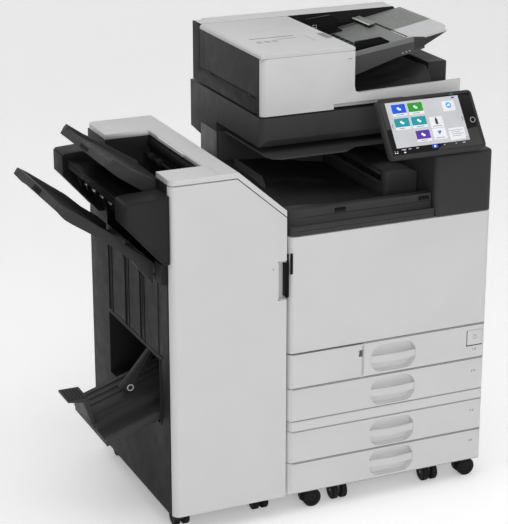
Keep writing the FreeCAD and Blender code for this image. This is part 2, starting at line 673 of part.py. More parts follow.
def waste_toner_door():
    """Small door at the left of tray 1 with a latch notch on its free side."""
    low = Z_TRAY2 + GAP
    high = Z_TRAY1 - GAP - 1
    right = X_DOOR - GAP / 2
    door = Moulding("waste_door_shell", kept=False)
    door.pad("xy", low, high, [(0, 0), (right, 0), (right, PANEL_T), (14, PANEL_T), (0, CORNER)])
    door.round(CORNER * 0.95, upright_at(x=[0], y=[0]))
    door.pocket("xz", SKIN, PANEL_T + 1, rect(18, low + SKIN, right - SKIN, high - SKIN))
    door.pocket("xz", -1, 14, rect(X_DOOR - 12, 421, X_DOOR + 1, 440))
    bores = [rod(f"waste_door_bore_{number}", (DOOR_HINGE, DOOR_HINGE, start), 2 + AXLE_GAP, 10)
             for number, start in enumerate((low - 1, high - 9))]
    keep(cut("waste_toner_door", door.body, bores), "waste_toner_door")


def front_band():
    """Fixed strip between the main trays and the paper bank."""
    band = Moulding("front_band")
    round_front(band, as_size(0), Z_TRAY3 + GAP / 2, Z_BAND - GAP / 2, True)


def handle_recess(panel, z_low):
    """Rounded recess with a bowed bar to pull by."""
    z_high = z_low + HANDLE_H
    left = HANDLE_X - HANDLE_W / 2
    right = HANDLE_X + HANDLE_W / 2
    panel.pad("xz", SKIN - 1, HANDLE_D + 3, rect(left - 4, z_low - 3, right + 4, z_high + 3))
    panel.pocket("xz", -8, HANDLE_D, rect(left, z_low, right, z_high))
    panel.round(HANDLE_R, along_y_at([left, right], [z_low, z_high]))
    bar_low = z_low + HANDLE_H * 0.36
    bar_high = z_low + HANDLE_H * 0.62
    panel.pad("xy", bar_low, bar_high, [
        (left - 1, 3), (left + 30, -1.5), (HANDLE_X, -4), (right - 30, -1.5), (right + 1, 3),
        (right + 1, 9), (right - 30, 4.5), (HANDLE_X, 2), (left + 30, 4.5), (left - 1, 9)])


def paper_tray(number, faces, x_low, seam_low, seam_high, handle_low):
    """One paper tray: front panel with its handle, cassette, runners, fences and lift plate."""
    label = f"tray_{number}"
    low = seam_low + GAP
    high = seam_high - GAP
    panel = Moulding(label + "_front", kept=False)
    round_front(panel, x_low, low, high, number != 1)
    hollow_back(panel, x_low, low, high)
    handle_recess(panel, handle_low)
    if number == 1:
        panel.pocket("xz", -1, PANEL_T + 1,
                     rect(FLAP_X - 3, FLAP_Z - 3, FLAP_X + FLAP_W + 1, FLAP_Z + FLAP_H + 1))
    left = faces[0] + RAIL + 3
    right = faces[1] - RAIL - 3
    floor = seam_low + 8
    rim = seam_high - 12
    back = 520
    front = HANDLE_D + 3
    outer = box(label + "_outer", (left, front, floor), (right, back, rim))
    inner = box(label + "_inner", (left + 3, front + 3, floor + 3), (right - 3, back - 3, rim + 1))
    pieces = [panel.body, cut(label + "_cassette", outer, [inner])]
    fence_left = left + 40
    fence_right = right - 90
    slots = []
    for side, y in (("front", 66), ("back", 372)):
        pieces.append(box(f"{label}_fence_{side}", (fence_left, y, floor + 2), (fence_right, y + 4, rim - 6)))
        slots.append(box(f"{label}_slot_{side}", (fence_left - 2, y - 2, floor + 6),
                         (fence_right + 2, y + 6, floor + 10)))
    plate = box(label + "_plate", (left + 20, 60, floor + 7), (right - 60, back - 60, floor + 9))
    pieces.append(cut(label + "_lift_plate", plate, slots))
    for side, x in (("left", left + 24), ("right", right - 76)):
        pieces.append(box(f"{label}_lug_{side}", (x, 90, floor + 2), (x + 10, 110, floor + 8)))
    runner = seam_low + RAIL_RISE + RAIL_H + 0.4
    for side, x in (("left", left - RAIL - 1), ("right", right - 1)):
        pieces.append(box(f"{label}_runner_{side}", (x, 45, runner), (x + RAIL + 2, back - 5, runner + 5)))
    keep(joined(label, pieces), label)


def power_flap():
    """Hinged flap over the main switch, with two bored lugs behind it."""
    flap = Moulding("power_flap_shell", kept=False)
    flap.pad("xz", 0.4, 3.4, rect(FLAP_X, FLAP_Z, FLAP_X + FLAP_W, FLAP_Z + FLAP_H))
    for x_low in (FLAP_X + 4.3, FLAP_X + 37.5):
        flap.pad("xz", 3.3, FLAP_HINGE_Y + 1.5, rect(x_low, FLAP_Z + 1, x_low + 2.7, FLAP_Z + 4.4))
    bore = rod("flap_bore", (FLAP_X + 1, FLAP_HINGE_Y, FLAP_HINGE_Z), FLAP_PIN_R + AXLE_GAP, 42, "x")
    keep(cut("power_flap", flap.body, [bore]), "power_flap")


def power_button():
    """Main switch, pressed into the well of its bracket."""
    button = Moulding("power_button")
    button.pad("xz", 4.4, 11, rect(FLAP_X + 14, FLAP_Z + 10, FLAP_X + 31, FLAP_Z + 32))


# ---------------------------------------------------------------- upper body
def control_cover():
    """Upper right box with the output area's walls behind it and the panel's pivot on top."""
    low = Z_COVER + 2
    cover = Moulding("control_cover_shell", kept=False)
    cover.pad("xy", low, BOX_Z, rect(BOX_X, 0, BODY_W, BOX_D))
    cover.round(15, upright_at(x=[BOX_X], y=[0]))
    cover.round(CORNER, upright_at(x=[BODY_W], y=[0]))
    cover.round(8, along_x_at(0, BOX_Z))
    cover.pocket("xy", low - 1, BOX_Z - SKIN, [
        (BOX_X + SKIN, 16), (BOX_X + 16, SKIN), (BODY_W - 18, SKIN), (BODY_W - SKIN, 18),
        (BODY_W - SKIN, BOX_D + 1), (BOX_X + SKIN, BOX_D + 1)])
    cover.pad("xy", low, COLUMN_Z, rect(BOX_X, BOX_D - 1, BOX_X + SKIN, REAR_Y + SKIN))
    cover.pad("xy", low, COLUMN_Z, rect(SKIN + 1, REAR_Y, BOX_X + 1, REAR_Y + SKIN))
    cover.pad("yz", PIVOT_X - 16, PIVOT_X + 16, [
        (PIVOT_Y - 12, BOX_Z - 1), (PIVOT_Y + 30, BOX_Z - 1), (PIVOT_Y + 12, PIVOT_Z + 4),
        (PIVOT_Y + 5, PIVOT_Z + 11), (PIVOT_Y - 5, PIVOT_Z + 11), (PIVOT_Y - 12, PIVOT_Z + 4)])
    pin = rod("panel_pin", (PIVOT_X - 32, PIVOT_Y, PIVOT_Z), AXLE_R, 64, "x")
    keep(joined("control_cover", [cover.body, pin]), "control_cover")


def output_tray():
    """Paper output tray: sloping floor, front rim, trim step and a paper wall."""
    right = BOX_X - 2
    tray = Moulding("output_tray")
    # floor and side rims, low at the exit on the right and high on the left
    tray.pad("xz", RIM_Y + 14, REAR_Y - 2, [
        (0.5, FLOOR_Z - 12), (right, FLOOR_Z - 12), (right, FLOOR_Z), (EXIT_X - 4, FLOOR_Z),
        (240, 822), (150, 836), (40, 843), (0.5, 843)])
    # front rim with its rounded left corner
    tray.pad("xy", FLOOR_Z - 12, RIM_Z, [
        (0.5, RIM_Y + 34), (10, RIM_Y + 10), (34, RIM_Y), (right, RIM_Y),
        (right, RIM_Y + 15), (42, RIM_Y + 15), (20, RIM_Y + 40), (0.5, RIM_Y + 60)])
    # dark trim step above the front cover
    tray.pad("xy", Z_COVER + 2, FLOOR_Z - 11, [
        (0.5, 22), (6, 8), (20, 2), (right, 2), (right, 56), (0.5, 56)])
    # standing wall beside the paper at the left rear
    tray.pad("yz", 26, 30, [(213, 835), (413, 835), (413, 874), (239, 872), (213, 850)])


def exit_unit():
    """Paper exit unit: housing with a lip over its rollers."""
    right = BOX_X - 2
    unit = Moulding("exit_unit_shell", kept=False)
    unit.pad("xz", EXIT_Y, REAR_Y - 4, [
        (EXIT_X, FLOOR_Z + 0.5), (right, FLOOR_Z + 0.5), (right, EXIT_Z - 12), (right - 20, EXIT_Z - 5),
        (360, EXIT_Z), (EXIT_X, EXIT_Z - 3)])
    unit.round(14, upright_at(x=[EXIT_X], y=[EXIT_Y]))
    unit.pocket("yz", EXIT_X - 1, EXIT_X + 24, rect(EXIT_Y + 24, 838, REAR_Y - 24, EXIT_Z - 11))
    bore = rod("exit_bore", (EXIT_X + 12, EXIT_Y + 15, EXIT_Z - 26), 3 + AXLE_GAP, REAR_Y - EXIT_Y - 30, "y")
    keep(cut("exit_unit", unit.body, [bore]), "exit_unit")


def exit_rollers():
    """Shaft along Y with six exit rollers."""
    x = EXIT_X + 12
    z = EXIT_Z - 26
    pieces = [rod("exit_shaft", (x, EXIT_Y + 16, z), 3, REAR_Y - EXIT_Y - 32, "y")]
    for number, y in enumerate((150, 168, 222, 240, 330, 348)):
        pieces.append(rod(f"exit_roller_{number}", (x, as_size(y), z), 8, 10, "y"))
    keep(joined("exit_rollers", pieces), "exit_rollers")


def toner_bottles():
    """Four toner bottles lying front to back."""
    bottles = []
    for number in range(4):
        x = as_size(80 + number * 112)
        body = rod(f"bottle_{number}", (x, as_size(60), BOTTLE_Z), BOTTLE_R, 380, "y")
        neck = rod(f"bottle_neck_{number}", (x, as_size(440), BOTTLE_Z), 18, 24, "y")
        bottles.append(joined(f"toner_bottle_{number}", [body, neck]))
    keep(group("toner_bottles", bottles), "toner_bottles")


def imaging_unit():
    """Four photoconductor drums in their cartridges."""
    units = []
    for number in range(4):
        x = as_size(80 + number * 105)
        drum = rod(f"drum_{number}", (x, as_size(70), DRUM_Z), 15, 370, "y")
        case = box(f"drum_case_{number}", (x - 30, 60, DRUM_Z - 45), (x + 34, 450, DRUM_Z - 4))
        units.append(joined(f"drum_unit_{number}", [drum, case]))
    keep(group("imaging_unit", units), "imaging_unit")


def transfer_belt():
    """Intermediate transfer belt: a loop over two rollers whose shafts reach the rear plate."""
    loop = Moulding("transfer_belt", kept=False)
    loop.pad("xz", 70, 440, [(45, 590), (55, 580), (435, 580), (445, 590), (445, 620), (435, 630),
                             (55, 630), (45, 620)])
    loop.pocket("xz", 69, 441, rect(50, 585, 440, 625))
    pieces = [loop.body]
    for number, x in enumerate((68, 422)):
        pieces.append(rod(f"belt_roller_{number}", (as_size(x), as_size(66), as_size(605)), 20, 378, "y"))
        pieces.append(rod(f"belt_shaft_{number}", (as_size(x), as_size(443), as_size(605)), 6,
                          FRAME_BACK - PLATE - 443, "y"))
    keep(joined("transfer_belt", pieces), "transfer_belt")


def fuser_unit():
    """Fusing unit: case with a heat roller and a pressure roller."""
    case = box("fuser_case", (480, 70, 640), (560, 480, 760))
    hole = box("fuser_path", (488, 82, 634), (552, 468, 766))
    rollers = [rod("heat_roller", (as_size(505), as_size(76), as_size(705)), 15, 398, "y"),
               rod("pressure_roller", (as_size(536), as_size(76), as_size(705)), 15, 398, "y")]
    shell = cut("fuser_shell", case, [hole])
    drive = box("fuser_drive", (490, 479, 660), (550, FRAME_BACK - PLATE, 700))
    keep(joined("fuser_unit", [shell, drive] + rollers), "fuser_unit")


# ------------------------------------------------------------------- scanner
GLASS = (72, 232, 512, 538)
CARRIAGE_Z = dim("carriage_bottom", 980, "underside of the scan carriage")
LID_Y = dim("feeder_hinge_y", 646, "feeder's hinge pins behind the front covers")
LID_Z = dim("feeder_hinge_z", 1051, "feeder's hinge pins above the floor")
FEEDER_HINGES = (as_size(110), as_size(470))


def scanner_housing():
    """Scanner with its platen opening, lower shelf and deeper rear end."""
    housing = Moulding("scanner_shell", kept=False)
    housing.pad("yz", 0, BODY_W, [
        (SCAN_Y + 13, SCAN_Z), (SCAN_Y, SCAN_Z + 18), (SCAN_Y, SCAN_TOP), (SCAN_BACK, SCAN_TOP),
        (SCAN_BACK, 911), (BODY_D + 2, 903), (BODY_D + 2, COLUMN_Z + 1), (REAR_Y, COLUMN_Z + 1),
        (REAR_Y, SCAN_Z)])
    housing.round(20, upright_at(x=[0, BODY_W], y=[SCAN_Y]))
    housing.pocket("xy", SCAN_Z + 4, SCAN_TOP - 8, rect(24, SCAN_Y + 30, BODY_W - 24, 640))
    x_low, y_low, x_high, y_high = GLASS
    housing.pocket("xy", SCAN_TOP - 9, SCAN_TOP + 1, rect(x_low + 8, y_low + 8, x_high - 8, y_high - 8))
    housing.pocket("xy", SCAN_TOP - 4, SCAN_TOP + 1, rect(x_low, y_low, x_high, y_high))
    housing.pad("xy", 946, SCAN_Z + 2, rect(300, 250, 410, 460))
    housing.pad("xy", 945, 949, [
        (5, 160), (14, 138), (36, 126), (220, 126), (262, 158), (410, 158), (410, 427), (5, 427)])
    for y_low in (228, 578):
        housing.pad("xy", SCAN_Z + 3, CARRIAGE_Z - 0.3, rect(25, y_low, BODY_W - 25, y_low + 10))
    pieces = [housing.body]
    for number, x in enumerate(FEEDER_HINGES):
        for side, x_low in (("a", x - 25), ("b", x + 13)):
            pieces.append(rod(f"scanner_knuckle_{number}{side}", (x_low, LID_Y, LID_Z), 6, 12, "x"))
            pieces.append(box(f"scanner_foot_{number}{side}", (x_low, LID_Y - 6, SCAN_TOP - 1),
                              (x_low + 12, LID_Y + 6, LID_Z)))
        pieces.append(rod(f"feeder_pin_{number}", (x - 25, LID_Y, LID_Z), 3, 50, "x"))
    keep(joined("scanner_housing", pieces), "scanner_housing")


def platen_glass():
    """Exposure glass."""
    x_low, y_low, x_high, y_high = GLASS
    glass = Moulding("platen_glass")
    glass.pad("xy", SCAN_TOP - 3.8, SCAN_TOP - 0.2,
              rect(x_low + 0.5, y_low + 0.5, x_high - 0.5, y_high - 0.5))


def scan_carriage():
    """Moving lamp and mirror carriage under the glass."""
    carriage = Moulding("scan_carriage")
    carriage.pad("xz", 215, 600, [
        (34, CARRIAGE_Z), (92, CARRIAGE_Z), (92, 1018), (74, 1026), (50, 1026), (34, 1018)])
    carriage.pocket("xz", 222, 593, [(58, 1012), (68, 1012), (66, 1027), (60, 1027)])


# -------------------------------------------------------------------- feeder
TRAY_HINGE_X = dim("feeder_tray_hinge_x", 226, "hinge of the feeder's input tray")
TRAY_HINGE_Z = dim("feeder_tray_hinge_z", 1140, "hinge of the feeder's input tray")
TRAY_FRONT = dim("feeder_tray_front", 205, "front side of the input tray")
TRAY_REAR = dim("feeder_tray_rear", 582, "rear side of the input tray")
TRAY_PIN_R = dim("feeder_tray_pin", 4, "radius of the input tray's hinge pin")
TIP_X = dim("feeder_flap_hinge_x", 489.5, "hinge of the input tray's end flap")
TIP_Z = dim("feeder_flap_hinge_z", 1184, "hinge of the input tray's end flap")
TIP_PIN_R = 1.2
TIP_HINGES = (285, 525)
FLAP_TILT = dim("feeder_flap_tilt", 10.5, "end flap, degrees from horizontal")
FLAP_T = dim("feeder_flap_thickness", 5, "end flap's plate")
COVER_AXIS_X = dim("feed_cover_hinge_x", 0.5, "feed cover's hinge pins from the left side")
COVER_AXIS_Z = dim("feed_cover_hinge_z", 1089.75, "feed cover's hinge pins above the floor")
COVER_BARREL_R = 2.2
FEED_COVER_HINGES = (240, 510)


def feeder_base():
    """Feeder frame: front face, output floor, rear housing and left wall."""
    base = Moulding("feeder_base_shell", kept=False)
    wall = SCAN_Y + 14
    base.pad("xz", SCAN_Y, wall, [
        (0, FEED_Z), (206, FEED_Z), (206, 1061), (407, 1061), (407, FEED_Z), (BODY_W, FEED_Z),
        (BODY_W, RIM_TOP + 6), (TOWER_X + 14, RIM_TOP), (TOWER_X + 3, RIM_TOP + 6),
        (TOWER_X, RIM_TOP + 20), (TOWER_X, TOWER_Z - 14), (0, TOWER_Z - 14)])
    base.pad("xy", FEED_Z + 2, FEED_Z + 18, rect(0, wall - 1, BODY_W, FEED_BACK))
    # rear housing over the whole width, deeper above its hinges
    end = BODY_W + 13
    base.pad("xz", 586, FEED_BACK, [
        (0, FEED_Z + 10), (BODY_W, FEED_Z + 10), (BODY_W, 1150), (end, 1180), (end, TOWER_Z - 8),
        (end - 8, TOWER_Z), (0, TOWER_Z)])
    base.pad("xz", FEED_BACK - 1, SCAN_BACK - 3, [
        (24, 1066), (BODY_W, 1066), (BODY_W, 1150), (end, 1180), (end, TOWER_Z - 6), (end - 6, TOWER_Z),
        (36, TOWER_Z), (24, TOWER_Z - 12)])
    base.pad("yz", 0, 5, rect(wall - 1, FEED_Z + 10, 587, GROOVE_Z - 1))
    base.pad("xz", wall - 1, 587, rect(16, FEED_Z + 10, TOWER_X - 6, FEED_Z + 52))
    base.pad("xy", FEED_Z + 17, 1126, rect(BODY_W - 67, 245, BODY_W - 12, 587))
    base.pad("xz", 262, 587, [
        (300, FEED_Z + 17), (400, 1068), (470, 1084), (512, 1104), (521, 1112), (521, FEED_Z + 17)])
    base.round(16, upright_at(x=[0, BODY_W], y=[SCAN_Y]))
    # notches in the left wall for the feed cover's barrels
    for y in FEED_COVER_HINGES:
        base.pocket("yz", -1, 6, rect(y - 0.4, COVER_AXIS_Z - 2.6, y + 20.4, GROOVE_Z))
    pin = rod("tray_pin", (TRAY_HINGE_X, wall - 1, TRAY_HINGE_Z), TRAY_PIN_R, 588 - wall, "y")
    pieces = [base.body, pin]
    for number, y in enumerate(FEED_COVER_HINGES):
        for side, y_low in (("a", y - 8.4), ("b", y + 20.4)):
            pieces.append(rod(f"cover_lug_{number}{side}", (COVER_AXIS_X, as_size(y_low), COVER_AXIS_Z),
                              COVER_BARREL_R, 8, "y"))
        pieces.append(rod(f"feed_cover_pin_{number}", (COVER_AXIS_X, as_size(y - 2), COVER_AXIS_Z),
                          1.1, 24, "y"))
    bores = []
    for number, x in enumerate(FEEDER_HINGES):
        knuckle = rod(f"feeder_knuckle_{number}", (x - 12.6, LID_Y, LID_Z), 6, 25.2, "x")
        link = box(f"feeder_link_{number}", (x - 12.6, FEED_BACK - 1, LID_Z + 1),
                   (x + 12.6, LID_Y, LID_Z + 6))
        pieces += [knuckle, link]
        bores.append(rod(f"feeder_bore_{number}", (x - 14, LID_Y, LID_Z), 3 + AXLE_GAP, 28, "x"))
    keep(cut("feeder_base", joined("feeder_base_parts", pieces), bores), "feeder_base")


def feeder_cover():
    """Feed cover: top and left side, on two barrels at the lower left."""
    cover = Moulding("feeder_cover_shell", kept=False)
    front = SCAN_Y
    top_in = TOWER_Z - 13
    cover.pad("xz", front, 585, [
        (0, top_in), (TOWER_X, top_in), (TOWER_X, TOWER_Z - 4), (TOWER_X - 6, TOWER_Z), (6, TOWER_Z),
        (0, TOWER_Z - 5)])
    cover.pad("xz", front + 15, 585, rect(0, GROOVE_Z + 0.5, 4, top_in + 1))
    cover.pad("xz", 240, 560, [(60, 1150), (200, 1150), (210, top_in + 1), (50, top_in + 1)])
    # notches in the side wall for the lugs of the feeder's frame, barrels between them
    pieces = [cover.body]
    bores = []
    for number, y in enumerate(FEED_COVER_HINGES):
        for y_low in (y - 8.8, y + 20.2):
            cover.pocket("yz", -1, 5, rect(y_low, GROOVE_Z, y_low + 8.6, COVER_AXIS_Z + 2.6))
        pieces.append(rod(f"cover_barrel_{number}", (COVER_AXIS_X, as_size(y), COVER_AXIS_Z),
                          COVER_BARREL_R, 20, "y"))
        bores.append(rod(f"cover_barrel_bore_{number}", (COVER_AXIS_X, as_size(y - 1), COVER_AXIS_Z),
                         1.1 + AXLE_GAP, 22, "y"))
    keep(cut("feeder_cover", joined("feeder_cover_parts", pieces), bores), "feeder_cover")


def feeder_tray():
    """Input tray rising to the right with a low front wall, hinged in the feeder."""
    tray = Moulding("feeder_tray_shell", kept=False)
    tray.pad("xz", TRAY_FRONT, TRAY_REAR, [
        (TRAY_HINGE_X, TRAY_HINGE_Z - 8), (283, 1140), (447, 1168), (485, 1178), (485, 1186),
        (447, 1176), (283, 1149), (TRAY_HINGE_X, TRAY_HINGE_Z + 1)])
    tray.pad("xz", TRAY_FRONT, TRAY_FRONT + 5, [
        (268, 1118), (283, 1125), (431, 1168), (469, 1178), (485, 1183), (485, 1207), (450, 1210),
        (283, 1186), (268, 1184)])
    pieces = [tray.body, rod("tray_knuckle", (TRAY_HINGE_X, TRAY_FRONT, TRAY_HINGE_Z), TRAY_PIN_R + 4,
                             TRAY_REAR - TRAY_FRONT, "y")]
    # two lugs and a pin for each hinge of the end flap
    for number, y in enumerate(TIP_HINGES):
        for side, y_low in (("a", y), ("b", y + 26)):
            pieces.append(box(f"tip_lug_{number}{side}", (484, y_low, TIP_Z - 2.5),
                              (TIP_X + 2, y_low + 4, TIP_Z + 2)))
        pieces.append(rod(f"tip_pin_{number}", (TIP_X, as_size(y), TIP_Z), TIP_PIN_R, 30, "y"))
    bore = rod("tray_bore", (TRAY_HINGE_X, TRAY_FRONT - 1, TRAY_HINGE_Z), TRAY_PIN_R + AXLE_GAP,
               TRAY_REAR - TRAY_FRONT + 2, "y")
    keep(cut("feeder_tray", joined("feeder_tray_parts", pieces), [bore]), "feeder_tray")


def feeder_guides():
    """Two document side guides that slide together."""
    wall = [(300, 1155), (330, 1160), (400, 1171.5), (400, 1195), (374, 1209), (300, 1203)]
    foot = [(300, 1152.2), (400, 1168.7), (400, 1171.7), (300, 1155.2)]
    for side, wall_low, foot_low in (("rear", 548, 520), ("front", 244, 248)):
        guide = Moulding(f"feeder_guide_{side}")
        guide.pad("xz", wall_low, wall_low + 5, wall)
        guide.pad("xz", foot_low, foot_low + 29, foot)
        if side == "rear":
            # wing that carries the far side of wide originals
            guide.pad("xz", 475, 580, [(458, 1184), (482, 1190), (482, 1193), (458, 1187)])
            guide.pad("xz", 548, 556, [(395, 1173), (460, 1184.5), (460, 1187), (395, 1187)])


def feeder_flap():
    """Fold-out extension at the end of the input tray, a plate with a wedge under its front."""
    lean = math.radians(FLAP_TILT.value)
    length = (FLAP_REACH - TIP_X - 3 - FLAP_T * math.sin(lean)) / math.cos(lean)
    flap = Moulding("flap_shell", kept=False)
    flap.pad("xy", -FLAP_T, 0, [
        (0, 58), (20, 60), (length - 17, 73), (length - 3, 96), (length, 112), (length, 361), (0, 361)])
    flap.pad("xz", 62, 84, [(14, -1), (14, -24), (26, -26), (length - 18, -4), (length - 18, -1)])
    flap.body.Placement = Placement(Vector(), Rotation(Vector(0, 1, 0), -FLAP_TILT.value))
    bind(flap.body, "Placement.Rotation.Angle", FLAP_TILT)
    flap.body.setExpression("Placement.Rotation.Axis.y", "-1")
    bind(flap.body, "Placement.Base.x", TIP_X + 3)
    bind(flap.body, "Placement.Base.y", TRAY_FRONT + 8)
    bind(flap.body, "Placement.Base.z", TIP_Z + 4)
    pieces = [flap.body]
    bores = []
    for number, y in enumerate(TIP_HINGES):
        barrel = y + 4.5
        pieces.append(rod(f"flap_barrel_{number}", (TIP_X, as_size(barrel), TIP_Z), 2.8, 21, "y"))
        pieces.append(box(f"flap_link_{number}", (TIP_X, barrel, TIP_Z - 1),
                          (TIP_X + 6, barrel + 21, TIP_Z + 2.5)))
        bores.append(rod(f"flap_hinge_bore_{number}", (TIP_X, as_size(barrel - 1), TIP_Z),
                         TIP_PIN_R + AXLE_GAP, 23, "y"))
    keep(cut("feeder_flap", joined("flap_parts", pieces), bores), "feeder_flap")


# ----------------------------------------------------------- operation panel
def tilted(piece):
    """Stand a panel piece on the panel's slope, its lower left corner at the origin."""
    piece.Placement = Placement(Vector(), Rotation(Vector(1, 0, 0), PANEL_TILT.value))
    bind(piece, "Placement.Rotation.Angle", PANEL_TILT)
    bind(piece, "Placement.Base.x", PANEL_X - SHIFT_X)
    bind(piece, "Placement.Base.y", -PANEL_REACH - SHIFT_Y)
    bind(piece, "Placement.Base.z", PANEL_Z)


BUTTON = (PANEL_W - 24, PANEL_L * 0.45, PANEL_W - 12, PANEL_L * 0.45 + 12)


def panel_housing():
    """Housing of the tilting panel, with bored lugs round the pivot pin."""
    housing = Moulding("panel_shell", kept=False)
    housing.pad("xy", -PANEL_H, 0, rect(0, 0, PANEL_W, PANEL_L))
    housing.round(12, upright_at(x=[0, PANEL_W], y=[0, PANEL_L]))
    housing.pocket("xy", -1.6, 1, rect(7, 8, PANEL_W - 7, PANEL_L - 8))
    housing.pocket("xy", -6, -1, rect(*BUTTON))
    middle = PIVOT_X - PANEL_X
    for x_low in (middle - 32, middle + 18):
        housing.pad("yz", x_low, x_low + 14, [
            (24, -PANEL_H + 0.5), (64, -PANEL_H + 0.5), (55, -44), (49, -50), (39, -50), (33, -44)])
    # the pivot pin as seen from the panel's own slope
    angle = math.radians(PANEL_TILT.value)
    rise = (PIVOT_Z - PANEL_Z).value
    run = (PIVOT_Y + PANEL_REACH).value
    along = run * math.cos(angle) + rise * math.sin(angle)
    under = rise * math.cos(angle) - run * math.sin(angle)
    bore = rod("panel_bore", (middle - 40, as_size(along), as_size(under)), AXLE_R + AXLE_GAP, 80, "x")
    shell = cut("panel_housing", housing.body, [bore])
    PARTS.append(shell)
    shell.Label = "panel_housing"
    tilted(shell)


def panel_screen():
    """Touch screen glass with a hole for the button."""
    screen = Moulding("panel_screen")
    screen.pad("xy", -1.5, -0.1, rect(7.3, 8.3, PANEL_W - 7.3, PANEL_L - 8.3))
    screen.pocket("xy", -2, 1, rect(*BUTTON))
    tilted(screen.body)


def panel_button():
    """The panel's one key."""
    left, low, right, high = BUTTON
    button = Moulding("panel_button")
    button.pad("xy", -3.2, -0.1, rect(left + 0.4, low + 0.4, right - 0.4, high - 0.4))
    tilted(button.body)


# ---------------------------------------------------------------- right side
def right_door():
    """Right door over the paper path, with a recess for the bypass tray."""
    door = Moulding("right_door_shell", kept=False)
    door.pad("yz", BODY_W - 16, BODY_W, rect(DOOR_Y[0], DOOR_Z[0], DOOR_Y[1], DOOR_Z[1]))
    door.pocket("yz", BODY_W - 17, BODY_W - 13,
                rect(DOOR_Y[0] + 4, DOOR_Z[0] + 4, DOOR_Y[1] - 4, DOOR_Z[1] - 4))
    door.pocket("yz", BODY_W - 9, BODY_W + 1, rect(94, 474, 426, 742))
    pins = [rod(f"right_door_pin_{number}", (DOOR_HINGE_X, y, DOOR_HINGE_Z), 1.2, 6, "y")
            for number, y in enumerate((DOOR_Y[0] - 4, DOOR_Y[1] - 2))]
    bores = [rod(f"bypass_bore_{number}", (BYPASS_HINGE_X, as_size(y), BYPASS_HINGE_Z),
                 1.5 + AXLE_GAP, 5, "y") for number, y in enumerate((90, 425))]
    keep(cut("right_door", joined("right_door_parts", [door.body] + pins), bores), "right_door")


def bypass_tray():
    """Bypass tray folded into the right door, with its two hinge pins."""
    bypass = Moulding("bypass_shell", kept=False)
    bypass.pad("yz", BODY_W - 7, BODY_W, rect(96, 476, 424, 740))
    bypass.pocket("yz", BODY_W - 4, BODY_W + 1, rect(220, 718, 300, 734))
    pins = [rod(f"bypass_pin_{number}", (BYPASS_HINGE_X, as_size(y), BYPASS_HINGE_Z), 1.5, 6, "y")
            for number, y in enumerate((91, 423))]
    keep(joined("bypass_tray", [bypass.body] + pins), "bypass_tray")


